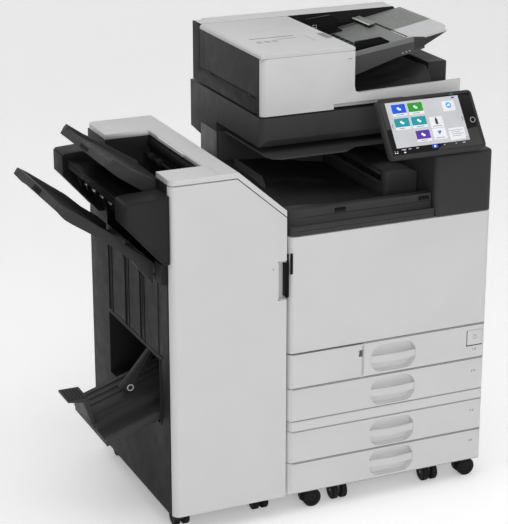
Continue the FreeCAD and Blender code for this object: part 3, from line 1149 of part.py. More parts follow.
# ------------------------------------------------------------------ finisher
def finisher_frame():
    """Finisher cabinet: dark body open at the front, with the top well and booklet bay."""
    left = -FIN_L
    right = -FIN_R
    wall = 3
    slope = FIN_SLOPE_Z - 2
    top = FIN_TOP - 2
    cabinet = Moulding("finisher_frame_shell", kept=False)
    cabinet.pad("xz", 25, FIN_D, [
        (left, CASTER_TOP), (right, CASTER_TOP), (right, slope), (-FIN_SLOPE_X, top), (left, top)])
    cabinet.pocket("xz", 24, FIN_D - wall, [
        (left + wall, CASTER_TOP + wall), (right - wall, CASTER_TOP + wall), (right - wall, slope - 2),
        (-FIN_SLOPE_X - 2, top - wall), (left + wall, top - wall)])
    cabinet.pad("xy", top - 1, FIN_TOP, rect(left + 8, 40, -FIN_SLOPE_X - 8, FIN_D - 8))
    # liners of the top well, of the stacker's throat and of the booklet bay, then their openings
    well_right = -WELL_X
    bay_right = -WELL_X + 30
    cabinet.pad("xy", 640 - wall, top - 1, rect(left + 1, ARM_F - wall, well_right + wall, ARM_B + wall))
    cabinet.pad("xy", BAY_LOW - wall, BAY_TOP + wall,
                rect(left + 1, ARM_F - 6 - wall, bay_right + wall, ARM_B + wall))
    cabinet.pocket("xy", 820, FIN_TOP + 5, rect(left - 1, ARM_F, well_right, ARM_B))
    cabinet.pocket("xy", 640, 818, rect(left + wall, ARM_F, well_right, ARM_B))
    cabinet.pocket("xy", 720, 821, rect(left - 1, ARM_F, left + 40, ARM_B))
    cabinet.pocket("xy", BAY_LOW, BAY_TOP, rect(left - 1, ARM_F - 6, bay_right, ARM_B))
    for y_low, z_low in SLOTS:
        cabinet.pocket("yz", left - 1, left + 14, rect(y_low, z_low, y_low + 8, 716))
    # shelf and rail of the stapler, holder block by the stacker, lower arm of the door's hinge
    cabinet.pad("xy", 688, 691, rect(well_right + 1, 60, right - 1, FIN_D - 1))
    cabinet.pad("xy", 690, STAPLER_Z - 0.3, rect(-130, 60, -100, FIN_D - 1))
    pieces = [cabinet.body,
              box("holder_block", (left - 14, 30, 690), (left + 1, 75, 744)),
              box("door_arm", (left + 2, 3, CASTER_TOP - 3), (left + 26, 60, CASTER_TOP + 1))]
    # bracket and pin of the booklet arm under the bay's top
    for side, y_low in (("front", 231), ("back", 265)):
        pieces.append(box(f"arm_bracket_{side}", (ARM_HINGE_X - 7, y_low, ARM_HINGE_Z - 5),
                          (ARM_HINGE_X + 7, y_low + 6, BAY_TOP + 1)))
    pieces.append(rod("arm_pin", (ARM_HINGE_X, as_size(231), ARM_HINGE_Z), 2, 40, "y"))
    for number, (x, y) in enumerate(((-250, 210), (-80, 210), (-250, 480), (-80, 480))):
        pieces.append(levelling_foot(f"finisher_foot_{number}", as_size(x), as_size(y)))
    for number, x in enumerate((-270, -60)):
        pieces.append(caster_fork(f"finisher_rear_fork_{number}", as_size(x), FIN_REAR_Y + TRAIL, "y", False))
    bores = [rod(f"finisher_swivel_bore_{number}", (x, FIN_FRONT_Y + TRAIL, CASTER_TOP - 1),
                 KINGPIN_R + AXLE_GAP, 5) for number, x in enumerate(FIN_SWIVELS)]
    bores.append(rod("finisher_door_bore", (FIN_HINGE_X, FIN_HINGE_Y, CASTER_TOP - 4),
                     FIN_PIN_R + AXLE_GAP, 6))
    bores.append(rod("upper_roller_bore", (UPPER_X, ARM_F - 4, UPPER_Z), 4 + AXLE_GAP,
                     ARM_B - ARM_F + 8, "y"))
    keep(cut("finisher_frame", joined("finisher_frame_parts", pieces), bores), "finisher_frame")


def finisher_casters():
    """Swivel casters at the front and rigid twin wheels at the rear."""
    for side, x in zip(("left", "right"), FIN_SWIVELS):
        fork = caster_fork(f"finisher_{side}_caster_fork", x, FIN_FRONT_Y + TRAIL, "y")
        keep(fork, f"finisher_{side}_caster_fork")
        wheels = caster_wheels(f"finisher_{side}_caster_wheels", x, FIN_FRONT_Y, "x")
        keep(group(f"finisher_{side}_caster_wheels", wheels), f"finisher_{side}_caster_wheels")
    rear = []
    for number, x in enumerate((-270, -60)):
        rear += caster_wheels(f"finisher_rear_wheels_{number}", as_size(x), FIN_REAR_Y, "x")
    keep(group("finisher_rear_wheels", rear), "finisher_rear_wheels")


def finisher_door():
    """Tall front door with a sloped upper right corner and a handle recess."""
    left = -FIN_L
    right = -FIN_R
    door = Moulding("finisher_door_shell", kept=False)
    door.pad("xz", 0, PANEL_T, [
        (left, BODY_Z), (right, BODY_Z), (right, FIN_SLOPE_Z - 3), (-FIN_SLOPE_X, FIN_TOP - 3),
        (left, FIN_TOP - 3)])
    door.round(FIN_CORNER, upright_at(x=[left], y=[0]))
    # the corner behind the hinge pins is rounded so that it swings past the cabinet
    door.round(4, upright_at(x=[left], y=[PANEL_T]))
    door.pocket("xz", SKIN, PANEL_T + 1, [
        (left + 12, BODY_Z + 3), (right - 40, BODY_Z + 3), (right - 40, FIN_SLOPE_Z + 20),
        (-FIN_SLOPE_X - 5, FIN_TOP - 8), (left + 12, FIN_TOP - 8)])
    door.pocket("xz", -1, 16, rect(right - 24, 614, right + 1, 719))
    pins = [rod("door_pin_top", (FIN_HINGE_X, FIN_HINGE_Y, FIN_TOP - 8), FIN_PIN_R, 12),
            rod("door_pin_bottom", (FIN_HINGE_X, FIN_HINGE_Y, CASTER_TOP - 3), FIN_PIN_R, 10)]
    keep(joined("finisher_door", [door.body] + pins), "finisher_door")


def finisher_top_cover():
    """Top cover: U-shaped in plan, running down the slope on the right."""
    left = -FIN_L
    right = -FIN_R
    cover = Moulding("top_cover_shell", kept=False)
    top = FIN_TOP + TOP_T
    cover.pad("xz", 0, FIN_D, [
        (-WELL_X, FIN_TOP), (-FIN_SLOPE_X, FIN_TOP), (right, FIN_SLOPE_Z), (right, FIN_SLOPE_Z + TOP_T + 2),
        (-FIN_SLOPE_X + 4, top), (-WELL_X, top)])
    cover.pad("xy", FIN_TOP, top, rect(left, 0, -WELL_X + 1, ARM_F))
    cover.pad("xy", FIN_TOP, top, rect(left, ARM_B, -WELL_X + 1, FIN_D))
    cover.round(FIN_CORNER, upright_at(x=[left], y=[0, FIN_D]))
    bore = rod("top_cover_bore", (FIN_HINGE_X, FIN_HINGE_Y, FIN_TOP - 1), FIN_PIN_R + AXLE_GAP, 6)
    keep(cut("finisher_top_cover", cover.body, [bore]), "finisher_top_cover")


def exit_hood():
    """Hood over the stacker exit: two end blocks and a beam between them."""
    left = -HOOD_X
    cabinet = -FIN_L
    hood = Moulding("hood_shell", kept=False)
    profile = [(left, 861), (-337, 751), (cabinet, 751), (cabinet, 926), (left + 6, 920), (left, 914)]
    hood.pad("xz", 5, 80, profile)
    hood.pad("xz", 79, 490, [(left + 12, 884), (cabinet, 858), (cabinet, 884), (left + 12, 902)])
    hood.pad("xz", 485, 560, profile)
    bore = rod("lower_roller_bore", (LOWER_X, as_size(72), LOWER_Z), 4 + AXLE_GAP, 421, "y")
    keep(cut("exit_hood", hood.body, [bore]), "exit_hood")


def finisher_rollers():
    """Exit rollers of the upper tray and of the stacker."""
    for label, x, z, low, high in (("upper_exit_rollers", UPPER_X, UPPER_Z, ARM_F - 3, ARM_B + 3),
                                   ("lower_exit_rollers", LOWER_X, LOWER_Z, as_size(73), as_size(492))):
        pieces = [rod(label + "_shaft", (x, low, z), 4, high - low, "y")]
        for number, y in enumerate((130, 190, 340, 400)):
            pieces.append(rod(f"{label}_{number}", (x, as_size(y), z), 10, 26, "y"))
        keep(joined(label, pieces), label)


def proof_tray():
    """Upper output tray, rising to the left out of the top well."""
    tray = Moulding("proof_tray")
    low = ARM_F + 4
    high = ARM_B - 4
    tray.pad("xz", low, high, [
        (-230, 868), (-323, 922), (-379, 954), (-438, 989), (-434, 997), (-377, 963),
        (-321, 930), (-230, 876)])
    side = [(-240, 862), (-359, 921), (-418, 961), (-446, 985), (-438, 999), (-429, 1009), (-384, 977),
            (-323, 943), (-240, 890)]
    tray.pad("xz", low, low + 22, side)
    tray.pad("xz", high - 22, high, side)
    # pull-out bar along the left edge
    tray.pad("xz", low + 4, high - 4, [(-436, 978), (-446, 986), (-438, 999), (-430, 1003), (-424, 992)])
    # tabs that hang the tray on the walls of the well
    for y_low in (ARM_F, ARM_B - 5):
        tray.pad("xz", y_low, y_low + 5, [(-300, 905), (-250, 872), (-250, 888), (-300, 918)])


def shift_tray():
    """Stacker tray that lowers as it fills."""
    tray = Moulding("shift_tray")
    low = as_size(94)
    high = as_size(464)
    tray.pad("xz", low, high, [
        (-334, 702), (-397, 752), (-443, 794), (-474, 817), (-524, 853), (-564, 883), (-558, 891),
        (-520, 862), (-470, 827), (-440, 804), (-395, 763), (-334, 713)])
    side = [(-334, 672), (-390, 743), (-442, 788), (-480, 817), (-543, 859), (-560, 872), (-568, 882),
            (-TRAY_REACH, 891), (-564, 906), (-542, 893), (-517, 875), (-466, 838), (-436, 816),
            (-395, 778), (-350, 745), (-334, 730)]
    tray.pad("xz", low, low + 24, side)
    tray.pad("xz", high - 24, high, side)
    # pull-out bar along the left edge
    tray.pad("xz", low + 4, high - 4, [(-562, 877), (-TRAY_REACH, 891), (-564, 906), (-550, 896)])
    # arms through the cabinet's slots
    for y_low, _ in SLOTS:
        tray.pad("xz", y_low + 1, y_low + 7, [
            (-345, 709), (-335, 673), (-FIN_L + 6, 673), (-FIN_L + 6, 709)])


def booklet_tray():
    """Booklet tray in its bay, with lugs and a pin for the end stop."""
    tray = Moulding("booklet_tray_shell", kept=False)
    slope = [(-467, 250), (-200, 341), (-200, 352), (-467, 263)]
    tray.pad("xz", 96, 350, slope)
    tray.pad("xz", 96, 102, [(-467, 249), (-200, 340), (-200, 361), (-467, 271)])
    tray.pad("xz", 165, 350, [(-469, 262), (-200, 351), (-200, 372), (-469, 286)])
    lugs = [box(f"stop_lug_{number}", (STOP_HINGE_X - 5, y_low, STOP_HINGE_Z - 5),
                (-468, y_low + 6, STOP_HINGE_Z + 5)) for number, y_low in enumerate((158.6, 245.4))]
    pin = rod("stop_pin", (STOP_HINGE_X, as_size(158.6), STOP_HINGE_Z), 2, 92.8, "y")
    keep(joined("booklet_tray", [tray.body, pin] + lugs), "booklet_tray")


def booklet_stop():
    """Fold-down end stop of the booklet tray."""
    stop = Moulding("stop_shell", kept=False)
    stop.pad("xz", 165, 245, [
        (-484, 288), (-473, 285), (-489, 352), (-491, 362), (-545, 362), (-545, 356), (-503, 350)])
    barrel = rod("stop_barrel", (STOP_HINGE_X, as_size(165), STOP_HINGE_Z), 5.5, 80, "y")
    bore = rod("stop_bore", (STOP_HINGE_X, as_size(164), STOP_HINGE_Z), 2 + AXLE_GAP, 82, "y")
    keep(cut("booklet_stop", joined("stop_parts", [stop.body, barrel]), [bore]), "booklet_stop")


def booklet_arm():
    """Hold-down arm that leans on the booklets."""
    arm = Moulding("arm_shell", kept=False)
    arm.pad("xz", 240, 262, [
        (-269, 460), (-375, 336), (-366, 326), (-352, 330), (-255, 449), (-255, 460)])
    arm.pad("xz", 238, 241, [(-352, 330), (-338, 330), (-332, 340), (-338, 350), (-352, 350), (-358, 340)])
    bore = rod("arm_bore", (ARM_HINGE_X, as_size(236), ARM_HINGE_Z), 2 + AXLE_GAP, 30, "y")
    keep(cut("booklet_arm", arm.body, [bore]), "booklet_arm")


def stapler_unit():
    """Stapler that travels front to back inside the finisher."""
    stapler = Moulding("stapler_unit")
    stapler.pad("xz", 300, 360, [(-170, STAPLER_Z), (-60, STAPLER_Z), (-60, 780), (-100, 800), (-170, 760)])
    stapler.pocket("xz", 306, 354, [(-171, 735), (-110, 735), (-110, 745), (-171, 745)])


# --------------------------------------------------------------------- build
def build():
    base_frame()
    left_cover()
    right_cover()
    rear_cover()
    power_inlet()
    front_cover()
    waste_toner_door()
    front_band()
    paper_tray(4, WIDE, as_size(0), BODY_Z, Z_TRAY4, as_size(67))
    paper_tray(3, WIDE, as_size(0), Z_TRAY4, Z_TRAY3, as_size(155))
    paper_tray(2, WIDE, as_size(0), Z_BAND, Z_TRAY2, as_size(274))
    paper_tray(1, NARROW, X_DOOR + GAP / 2, Z_TRAY2, Z_TRAY1, as_size(369))
    power_flap()
    power_button()
    control_cover()
    output_tray()
    exit_unit()
    exit_rollers()
    toner_bottles()
    imaging_unit()
    transfer_belt()
    fuser_unit()
    scanner_housing()
    platen_glass()
    scan_carriage()
    feeder_base()
    feeder_cover()
    feeder_tray()
    feeder_guides()
    feeder_flap()
    panel_housing()
    panel_screen()
    panel_button()
    right_door()
    bypass_tray()
    copier_casters()
    finisher_frame()
    finisher_casters()
    finisher_door()
    finisher_top_cover()
    exit_hood()
    finisher_rollers()
    proof_tray()
    shift_tray()
    booklet_tray()
    booklet_stop()
    booklet_arm()
    stapler_unit()


def check_and_write():
    """Stop on any failed object or bad shape, then write one STEP file per sub-part."""
    DOC.recompute()
    for thing in DOC.Objects:
        if "Invalid" in thing.State or "Error" in thing.State:
            raise ValueError(f"{thing.Name} failed: {thing.State}")
    for part in PARTS:
        if part.Shape.isNull() or not part.Shape.isValid():
            raise ValueError(f"{part.Label} has no valid shape")
    os.makedirs("parts", exist_ok=True)
    for part in PARTS:
        part.Shape.exportStep(f"parts/{part.Label}.step")
    print(len(PARTS), "sub-parts written")


build()
check_and_write()
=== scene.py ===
"""Looks of the floor-standing copier with its booklet finisher.

Positions are given in the machine frame of the part's source, in millimetres:
X to the right from the copier's left side, Y backwards from its front covers,
Z up from the floor. at() turns them into the row frame, in metres.
"""

import math

import bmesh
import bpy
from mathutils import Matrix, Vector


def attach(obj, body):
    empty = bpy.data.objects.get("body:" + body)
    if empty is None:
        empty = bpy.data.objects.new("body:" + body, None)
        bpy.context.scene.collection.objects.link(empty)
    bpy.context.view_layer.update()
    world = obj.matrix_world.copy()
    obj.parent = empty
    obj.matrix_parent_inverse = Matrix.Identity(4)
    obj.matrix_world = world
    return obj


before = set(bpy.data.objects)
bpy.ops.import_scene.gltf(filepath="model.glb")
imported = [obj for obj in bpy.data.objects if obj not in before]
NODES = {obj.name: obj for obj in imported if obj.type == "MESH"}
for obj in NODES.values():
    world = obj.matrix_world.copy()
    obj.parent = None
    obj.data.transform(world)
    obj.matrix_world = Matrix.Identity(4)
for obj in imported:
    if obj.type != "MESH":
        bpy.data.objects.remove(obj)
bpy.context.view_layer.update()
SHIFT = {"X": -16.5, "Y": -314.5, "Z": 0.0}     # machine frame to row frame, millimetres
EDGE_ANGLE = 35                                 # degrees; edges sharper than this are bevelled
EDGE_WIDTH, SMALL_EDGE_WIDTH, WELD_DISTANCE = 0.0009, 0.0003, 2e-5     # CAD nodes, metres
SMALL_NODES = ("power_flap", "power_button", "panel_button", "feeder_flap", "power_inlet", "platen_glass")


def at(x, y, z):
    """Machine frame in millimetres to row frame in metres."""
    return Vector(((x + SHIFT["X"]) / 1000, (y + SHIFT["Y"]) / 1000, z / 1000))


# ------------------------------------------------------------------ materials
def shader(name):
    """A node material: itself, its tree, its main shader and the piece's own coordinates."""
    material = bpy.data.materials.new(name)
    material.use_nodes = True
    tree = material.node_tree
    coords = tree.nodes.new("ShaderNodeTexCoord").outputs["Object"]
    return material, tree, tree.nodes["Principled BSDF"], coords


def link(tree, source, target):
    tree.links.new(source, target)


def noise(tree, scale, detail, coords):
    texture = tree.nodes.new("ShaderNodeTexNoise")
    texture.inputs["Scale"].default_value = scale
    texture.inputs["Detail"].default_value = detail
    link(tree, coords, texture.inputs["Vector"])
    return texture.outputs["Fac"]


def ramp(tree, value, low, high, first, last):
    """Map a value between two limits onto two colours."""
    node = tree.nodes.new("ShaderNodeValToRGB")
    for element, position, colour in zip(node.color_ramp.elements, (low, high), (first, last)):
        element.position = position
        element.color = colour
    link(tree, value, node.inputs["Fac"])
    return node.outputs["Color"]


def mixed(tree, factor, first, mode):
    """A colour mix whose second colour is still to be set."""
    node = tree.nodes.new("ShaderNodeMix")
    node.data_type = "RGBA"
    node.blend_type = mode
    link(tree, factor, node.inputs["Factor"])
    link(tree, first, node.inputs["A"])
    return node


def bumped(tree, bsdf, height, strength, distance):
    """Fine relief on the main shader."""
    bump = tree.nodes.new("ShaderNodeBump")
    bump.inputs["Strength"].default_value = strength
    bump.inputs["Distance"].default_value = distance
    link(tree, height, bump.inputs["Height"])
    link(tree, bump.outputs["Normal"], bsdf.inputs["Normal"])


def grey(value):
    return (value, value, value, 1)


def tinted(colour, factor):
    return tuple(min(1.0, part * factor) for part in colour[:3]) + (1,)


def moulded(name, colour, roughness=0.42, grain=1400, depth=0.05, mottle=0.05, other=None, mask=None,
            edge=0.0, coat=0.0):
    """Moulded plastic: fine spark-eroded grain, slow tone changes, smudges in the gloss.

    With another colour and a mask, the piece is moulded in two colours.
    """
    material, tree, bsdf, coords = shader(name)
    slow = noise(tree, 9, 3, coords)
    fine = noise(tree, grain, 2, coords)
    smudge = noise(tree, 34, 4, coords)

    def mottled(base):
        return ramp(tree, slow, 0.3, 0.7, tinted(base, 1 - mottle), tinted(base, 1 + mottle))

    tone = mottled(colour)
    if other is not None:
        two = mixed(tree, mask(tree, coords), tone, "MIX")
        link(tree, mottled(other), two.inputs["B"])
        tone = two.outputs["Result"]
    if edge:
        # convex corners painted a little lighter: a painted edge highlight
        corner_geometry = tree.nodes.new("ShaderNodeNewGeometry")
        edge_highlight = ramp(tree, corner_geometry.outputs["Pointiness"], 0.52, 0.60, grey(0), grey(edge))
        lift = mixed(tree, edge_highlight, tone, "ADD")
        lift.inputs["B"].default_value = grey(0.5)
        tone = lift.outputs["Result"]
    link(tree, tone, bsdf.inputs["Base Color"])
    link(tree, ramp(tree, smudge, 0.25, 0.75, grey(roughness - 0.07), grey(roughness + 0.07)),
         bsdf.inputs["Roughness"])
    bumped(tree, bsdf, fine, depth, 0.0006)
    bsdf.inputs["Coat Weight"].default_value = coat
    # dark plastics are matt: a normal gloss would wash them out
    bsdf.inputs["Specular IOR Level"].default_value = 0.5 if max(colour) > 0.1 else 0.07
    return material


def computed(tree, operation, first, second):
    """One sum on two values, each a socket or a plain number."""
    node = tree.nodes.new("ShaderNodeMath")
    node.operation = operation
    for socket, value in zip(node.inputs, (first, second)):
        if isinstance(value, (int, float)):
            socket.default_value = value
        else:
            link(tree, value, socket)
    return node.outputs[0]


def over(axis, limit):
    """Mask: 1 where a machine-frame coordinate is above a limit, on the piece itself."""
    def mask(tree, coords):
        split = tree.nodes.new("ShaderNodeSeparateXYZ")
        link(tree, coords, split.inputs["Vector"])
        return computed(tree, "GREATER_THAN", split.outputs[axis], (limit + SHIFT[axis]) / 1000)
    return mask


def under(axis, limit):
    """Mask: 1 where a machine-frame coordinate is below a limit."""
    def mask(tree, coords):
        return computed(tree, "SUBTRACT", 1, over(axis, limit)(tree, coords))
    return mask


def combined(operation, first, second):
    """Mask: the larger (MAXIMUM) or the smaller (MINIMUM) of two."""
    def mask(tree, coords):
        return computed(tree, operation, first(tree, coords), second(tree, coords))
    return mask


def metal(name, colour, roughness, stretch):
    """Sheet or bar metal with fine drawn lines along one axis."""
    material, tree, bsdf, coords = shader(name)
    mapping = tree.nodes.new("ShaderNodeMapping")
    mapping.inputs["Scale"].default_value = stretch
    link(tree, coords, mapping.inputs["Vector"])
    lines = noise(tree, 60, 5, mapping.outputs["Vector"])
    link(tree, ramp(tree, lines, 0.3, 0.7, tinted(colour, 0.85), tinted(colour, 1.12)),
         bsdf.inputs["Base Color"])
    link(tree, ramp(tree, lines, 0.3, 0.7, grey(roughness - 0.08), grey(roughness + 0.08)),
         bsdf.inputs["Roughness"])
    bumped(tree, bsdf, lines, 0.08, 0.0004)
    bsdf.inputs["Metallic"].default_value = 0.9
    return material


def lit(name, colour, strength=0.24):
    """Back-lit area of the display, with its faint dots."""
    material, tree, bsdf, coords = shader(name)
    tone = ramp(tree, noise(tree, 18, 2, coords), 0.3, 0.7, tinted(colour, 0.94), tinted(colour, 1.05))
    link(tree, tone, bsdf.inputs["Base Color"])
    link(tree, tone, bsdf.inputs["Emission Color"])
    bsdf.inputs["Emission Strength"].default_value = strength
    bsdf.inputs["Roughness"].default_value = 0.25
    dots = tree.nodes.new("ShaderNodeTexVoronoi")
    dots.inputs["Scale"].default_value = 2600
    link(tree, coords, dots.inputs["Vector"])
    bumped(tree, bsdf, dots.outputs["Distance"], 0.03, 0.0002)
    return material


WHITE_TONE = (0.60, 0.60, 0.605)
DARK_TONE = (0.043, 0.043, 0.0448)
TRAY_TONE = (0.19, 0.20, 0.19)
FLAP_TONE = (0.56, 0.57, 0.58)
COVER = {"roughness": 0.48, "depth": 0.06, "mottle": 0.012}
FEEDER = {"roughness": 0.47, "depth": 0.07, "mottle": 0.03}
TRAY = {"roughness": 0.5, "depth": 0.09, "mottle": 0.03, "edge": 0.03}
FLAP = {"roughness": 0.45, "depth": 0.07, "mottle": 0.02, "edge": 0.04}

WHITE = moulded("white_cover", WHITE_TONE, edge=0.05, **COVER)
# the trays' handle recesses, behind Y = 5 mm, are coloured a paler white: painted light in place of the
# recesses' shade
TRAY_WHITE_LIT_RECESS = moulded("tray_white_lit_recess", WHITE_TONE, edge=0.05, other=(0.74, 0.74, 0.745), mask=over("Y", 5),
                     **COVER)
SIDE_TWO = moulded("side_two_tone", WHITE_TONE, other=DARK_TONE, mask=over("Z", 777.5), **COVER)
DARK = moulded("dark_cover", DARK_TONE, roughness=0.45, depth=0.09, mottle=0.05, edge=0.02)
CABINET = moulded("cabinet_dark", (0.017, 0.017, 0.0176), roughness=0.5, depth=0.1, mottle=0.06, edge=0.02)
BLACK = moulded("black_plastic", (0.009, 0.009, 0.0095), depth=0.09, mottle=0.08, edge=0.012)
INNER = moulded("inner_black", (0.006, 0.006, 0.0065), roughness=0.6, depth=0.09, mottle=0.1)
RUBBER = moulded("roller_rubber", (0.016, 0.016, 0.016), roughness=0.75, grain=2600, depth=0.3, mottle=0.12)
# lighter than the feeder base's near-black: painted sheen on the document output's floor
DISH_WITH_SHEEN = moulded("feeder_output_sheen", (0.045, 0.045, 0.047), depth=0.1, mottle=0.08, edge=0.01)
OUTPUT = moulded("output_surface", (0.024, 0.024, 0.025), roughness=0.5, depth=0.1, mottle=0.08, edge=0.01)
TRAY_GREY = moulded("feeder_grey", TRAY_TONE, **TRAY)
TRAY_TWO = moulded("feeder_tray_two_tone", TRAY_TONE, other=(0.045, 0.045, 0.047), mask=under("Y", 210.4),
                   **TRAY)
FLAP_GREY = moulded("flap_grey", FLAP_TONE, **FLAP)
FLAP_TWO = moulded("flap_two_tone", FLAP_TONE, other=TRAY_TONE, mask=over("Y", 395), **FLAP)
LID_TWO = moulded("feed_cover_two_tone", DARK_TONE, other=WHITE_TONE, mask=over("Z", 1197.5), **FEEDER)
BASE_TWO = moulded("feeder_two_tone", (0.014, 0.014, 0.0145), other=WHITE_TONE,
                   mask=combined("MAXIMUM", under("Y", 190),
                                 combined("MINIMUM", over("Y", 586.5), over("X", 4))), **FEEDER)
# grey of print, also used for the painted shadow lines along the front gaps and the feeder's front step
MARK = moulded("print_and_shade_grey", (0.15, 0.15, 0.155), roughness=0.6, grain=3000, depth=0.03, mottle=0.08)
MARK_PALE = moulded("print_white", (0.72, 0.73, 0.74), roughness=0.55, grain=3000, depth=0.03)
GLASS_DARK = moulded("panel_glass", (0.008, 0.008, 0.009), roughness=0.14, grain=900, depth=0.008, mottle=0.1,
                     coat=0.6)
STEEL = metal("sheet_steel", (0.20, 0.20, 0.205), 0.42, (1, 0.06, 1))
AXLE = metal("bright_steel", (0.55, 0.55, 0.56), 0.3, (1, 1, 0.1))


def platen_material():
    """Clear exposure glass with a faint green edge tint and dust in the gloss."""
    material, tree, bsdf, coords = shader("platen_clear")
    dust = noise(tree, 240, 3, coords)
    link(tree, ramp(tree, dust, 0.3, 0.7, (0.80, 0.88, 0.84, 1), (0.86, 0.92, 0.89, 1)),
         bsdf.inputs["Base Color"])
    link(tree, ramp(tree, dust, 0.5, 0.8, grey(0.02), grey(0.1)), bsdf.inputs["Roughness"])
    bsdf.inputs["Transmission Weight"].default_value = 0.85
    bsdf.inputs["IOR"].default_value = 1.5
    return material


def bottle_material():
    """Toner bottles: one tint for each, told apart by where they lie along X."""
    material, tree, bsdf, coords = shader("toner_bottles")
    split = tree.nodes.new("ShaderNodeSeparateXYZ")
    link(tree, coords, split.inputs["Vector"])
    reach = tree.nodes.new("ShaderNodeMapRange")
    reach.inputs["From Min"].default_value = (24 + SHIFT["X"]) / 1000
    reach.inputs["From Max"].default_value = (472 + SHIFT["X"]) / 1000
    link(tree, split.outputs["X"], reach.inputs["Value"])
    bands = tree.nodes.new("ShaderNodeValToRGB")
    bands.color_ramp.interpolation = "CONSTANT"
    yellow, magenta, cyan, black = ((0.55, 0.42, 0.02, 1), (0.45, 0.02, 0.16, 1), (0.01, 0.22, 0.45, 1),
                                    (0.02, 0.02, 0.02, 1))
    elements = bands.color_ramp.elements
    elements[0].color = yellow
    elements[1].position = 0.25
    elements[1].color = magenta
    elements.new(0.5).color = cyan
    elements.new(0.75).color = black
    link(tree, reach.outputs["Result"], bands.inputs["Fac"])
    link(tree, bands.outputs["Color"], bsdf.inputs["Base Color"])
    gloss = noise(tree, 60, 3, coords)
    link(tree, ramp(tree, gloss, 0.3, 0.7, grey(0.3), grey(0.45)), bsdf.inputs["Roughness"])
    return material


LOOKS = (
    (WHITE, "front_band front_cover waste_toner_door power_flap right_door bypass_tray finisher_door "
            "finisher_top_cover"),
    (DARK, "control_cover output_tray exit_unit scanner_housing panel_housing proof_tray shift_tray "
           "booklet_tray booklet_stop booklet_arm"),
    (CABINET, "finisher_frame exit_hood imaging_unit fuser_unit"),
    (BLACK, "power_inlet power_button panel_button transfer_belt stapler_unit feeder_guide_front "
            "feeder_guide_rear"),
    (STEEL, "base_frame scan_carriage"), (SIDE_TWO, "left_cover right_cover rear_cover"),
    (TRAY_WHITE_LIT_RECESS, "tray_1 tray_2 tray_3 tray_4"), (GLASS_DARK, "panel_screen"), (BASE_TWO, "feeder_base"),
    (LID_TWO, "feeder_cover"), (TRAY_TWO, "feeder_tray"), (FLAP_TWO, "feeder_flap"),
    (platen_material(), "platen_glass"), (bottle_material(), "toner_bottles"),
)


def look_of(name):
    """The material of a CAD node; forks are black, what is left are rollers and wheels."""
    for look, names in LOOKS:
        if name in names.split():
            return look
    return BLACK if name.endswith("fork") else RUBBER


def soften(piece, width, segments=2, angle=EDGE_ANGLE):
    """A small bevel, its width in metres, on the sharp edges of a piece."""
    soft = piece.modifiers.new("soft_edges", "BEVEL")
    soft.width = width
    soft.segments = segments
    soft.limit_method = "ANGLE"
    soft.angle_limit = math.radians(angle)
    soft.harden_normals = True


def dress_nodes():
    """Material, softened edges and shading for every CAD node."""
    for name, node in NODES.items():
        node.data.materials.clear()
        node.data.materials.append(look_of(name))
        node.modifiers.new("weld", "WELD").merge_threshold = WELD_DISTANCE
        soften(node, SMALL_EDGE_WIDTH if name in SMALL_NODES else EDGE_WIDTH)
        for polygon in node.data.polygons:
            polygon.use_smooth = True


# --------------------------------------------------------------- mesh helpers
def place(name, bm, material, body, bevel=0.0, segments=2, angle=EDGE_ANGLE):
    """Make an object of a bmesh in the row frame, riding on a body; the bevel is in millimetres."""
    bmesh.ops.recalc_face_normals(bm, faces=bm.faces)
    mesh = bpy.data.meshes.new(name)
    bm.to_mesh(mesh)
    bm.free()
    piece = bpy.data.objects.new(name, mesh)
    bpy.context.scene.collection.objects.link(piece)
    mesh.materials.append(material)
    mesh.shade_smooth()
    if bevel:
        soften(piece, bevel / 1000, segments, angle)
    else:
        mesh.set_sharp_from_angle(angle=math.radians(angle))
    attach(piece, body)


def skin(bm, rings):
    """Quads between each ring of vertices and the next."""
    for first, second in zip(rings, rings[1:]):
        for index in range(len(first)):
            following = (index + 1) % len(first)
            bm.faces.new((first[index], first[following], second[following], second[index]))


PANEL_AT = (270.0, -28.0, 960.0)
PANEL_TILT = math.radians(54)
FLAP_ROOT = (492.5, 1188.0)
FLAP_TILT = math.radians(10.5)


def on_panel(u, v, w):
    """A point on the operation panel: along its width, up its slope, out of its face."""
    x, y, z = PANEL_AT
    return at(x + u, y + v * math.cos(PANEL_TILT) - w * math.sin(PANEL_TILT),
              z + v * math.sin(PANEL_TILT) + w * math.cos(PANEL_TILT))


def along_flap(s, lift):
    """X and Z of a point on the feeder's end flap: out along its slope, up from its face."""
    return (FLAP_ROOT[0] + s * math.cos(FLAP_TILT) - lift * math.sin(FLAP_TILT),
            FLAP_ROOT[1] + s * math.sin(FLAP_TILT) + lift * math.cos(FLAP_TILT))


def on_flap(s, y, lift):
    x, z = along_flap(s, lift)
    return at(x, y, z)


PLANES = {"xz": lambda u, v, w: at(u, w, v), "yz": lambda u, v, w: at(w, u, v), "xy": at,
          "panel": on_panel, "flap": on_flap}


def prism(name, plane, outlines, low, high, material, body, bevel=0.0, segments=2):
    """One piece made of one or more outlines, each extruded between two offsets.

    In the plane xz an outline is seen from the front, in yz from the side and in xy from above.
    """
    point = PLANES[plane]
    bm = bmesh.new()
    for outline in outlines if isinstance(outlines[0], list) else [outlines]:
        first, second = [[bm.verts.new(point(u, v, offset)) for u, v in outline] for offset in (low, high)]
        bm.faces.new(first)
        bm.faces.new(list(reversed(second)))
        skin(bm, [first, second])
    place(name, bm, material, body, bevel, segments)


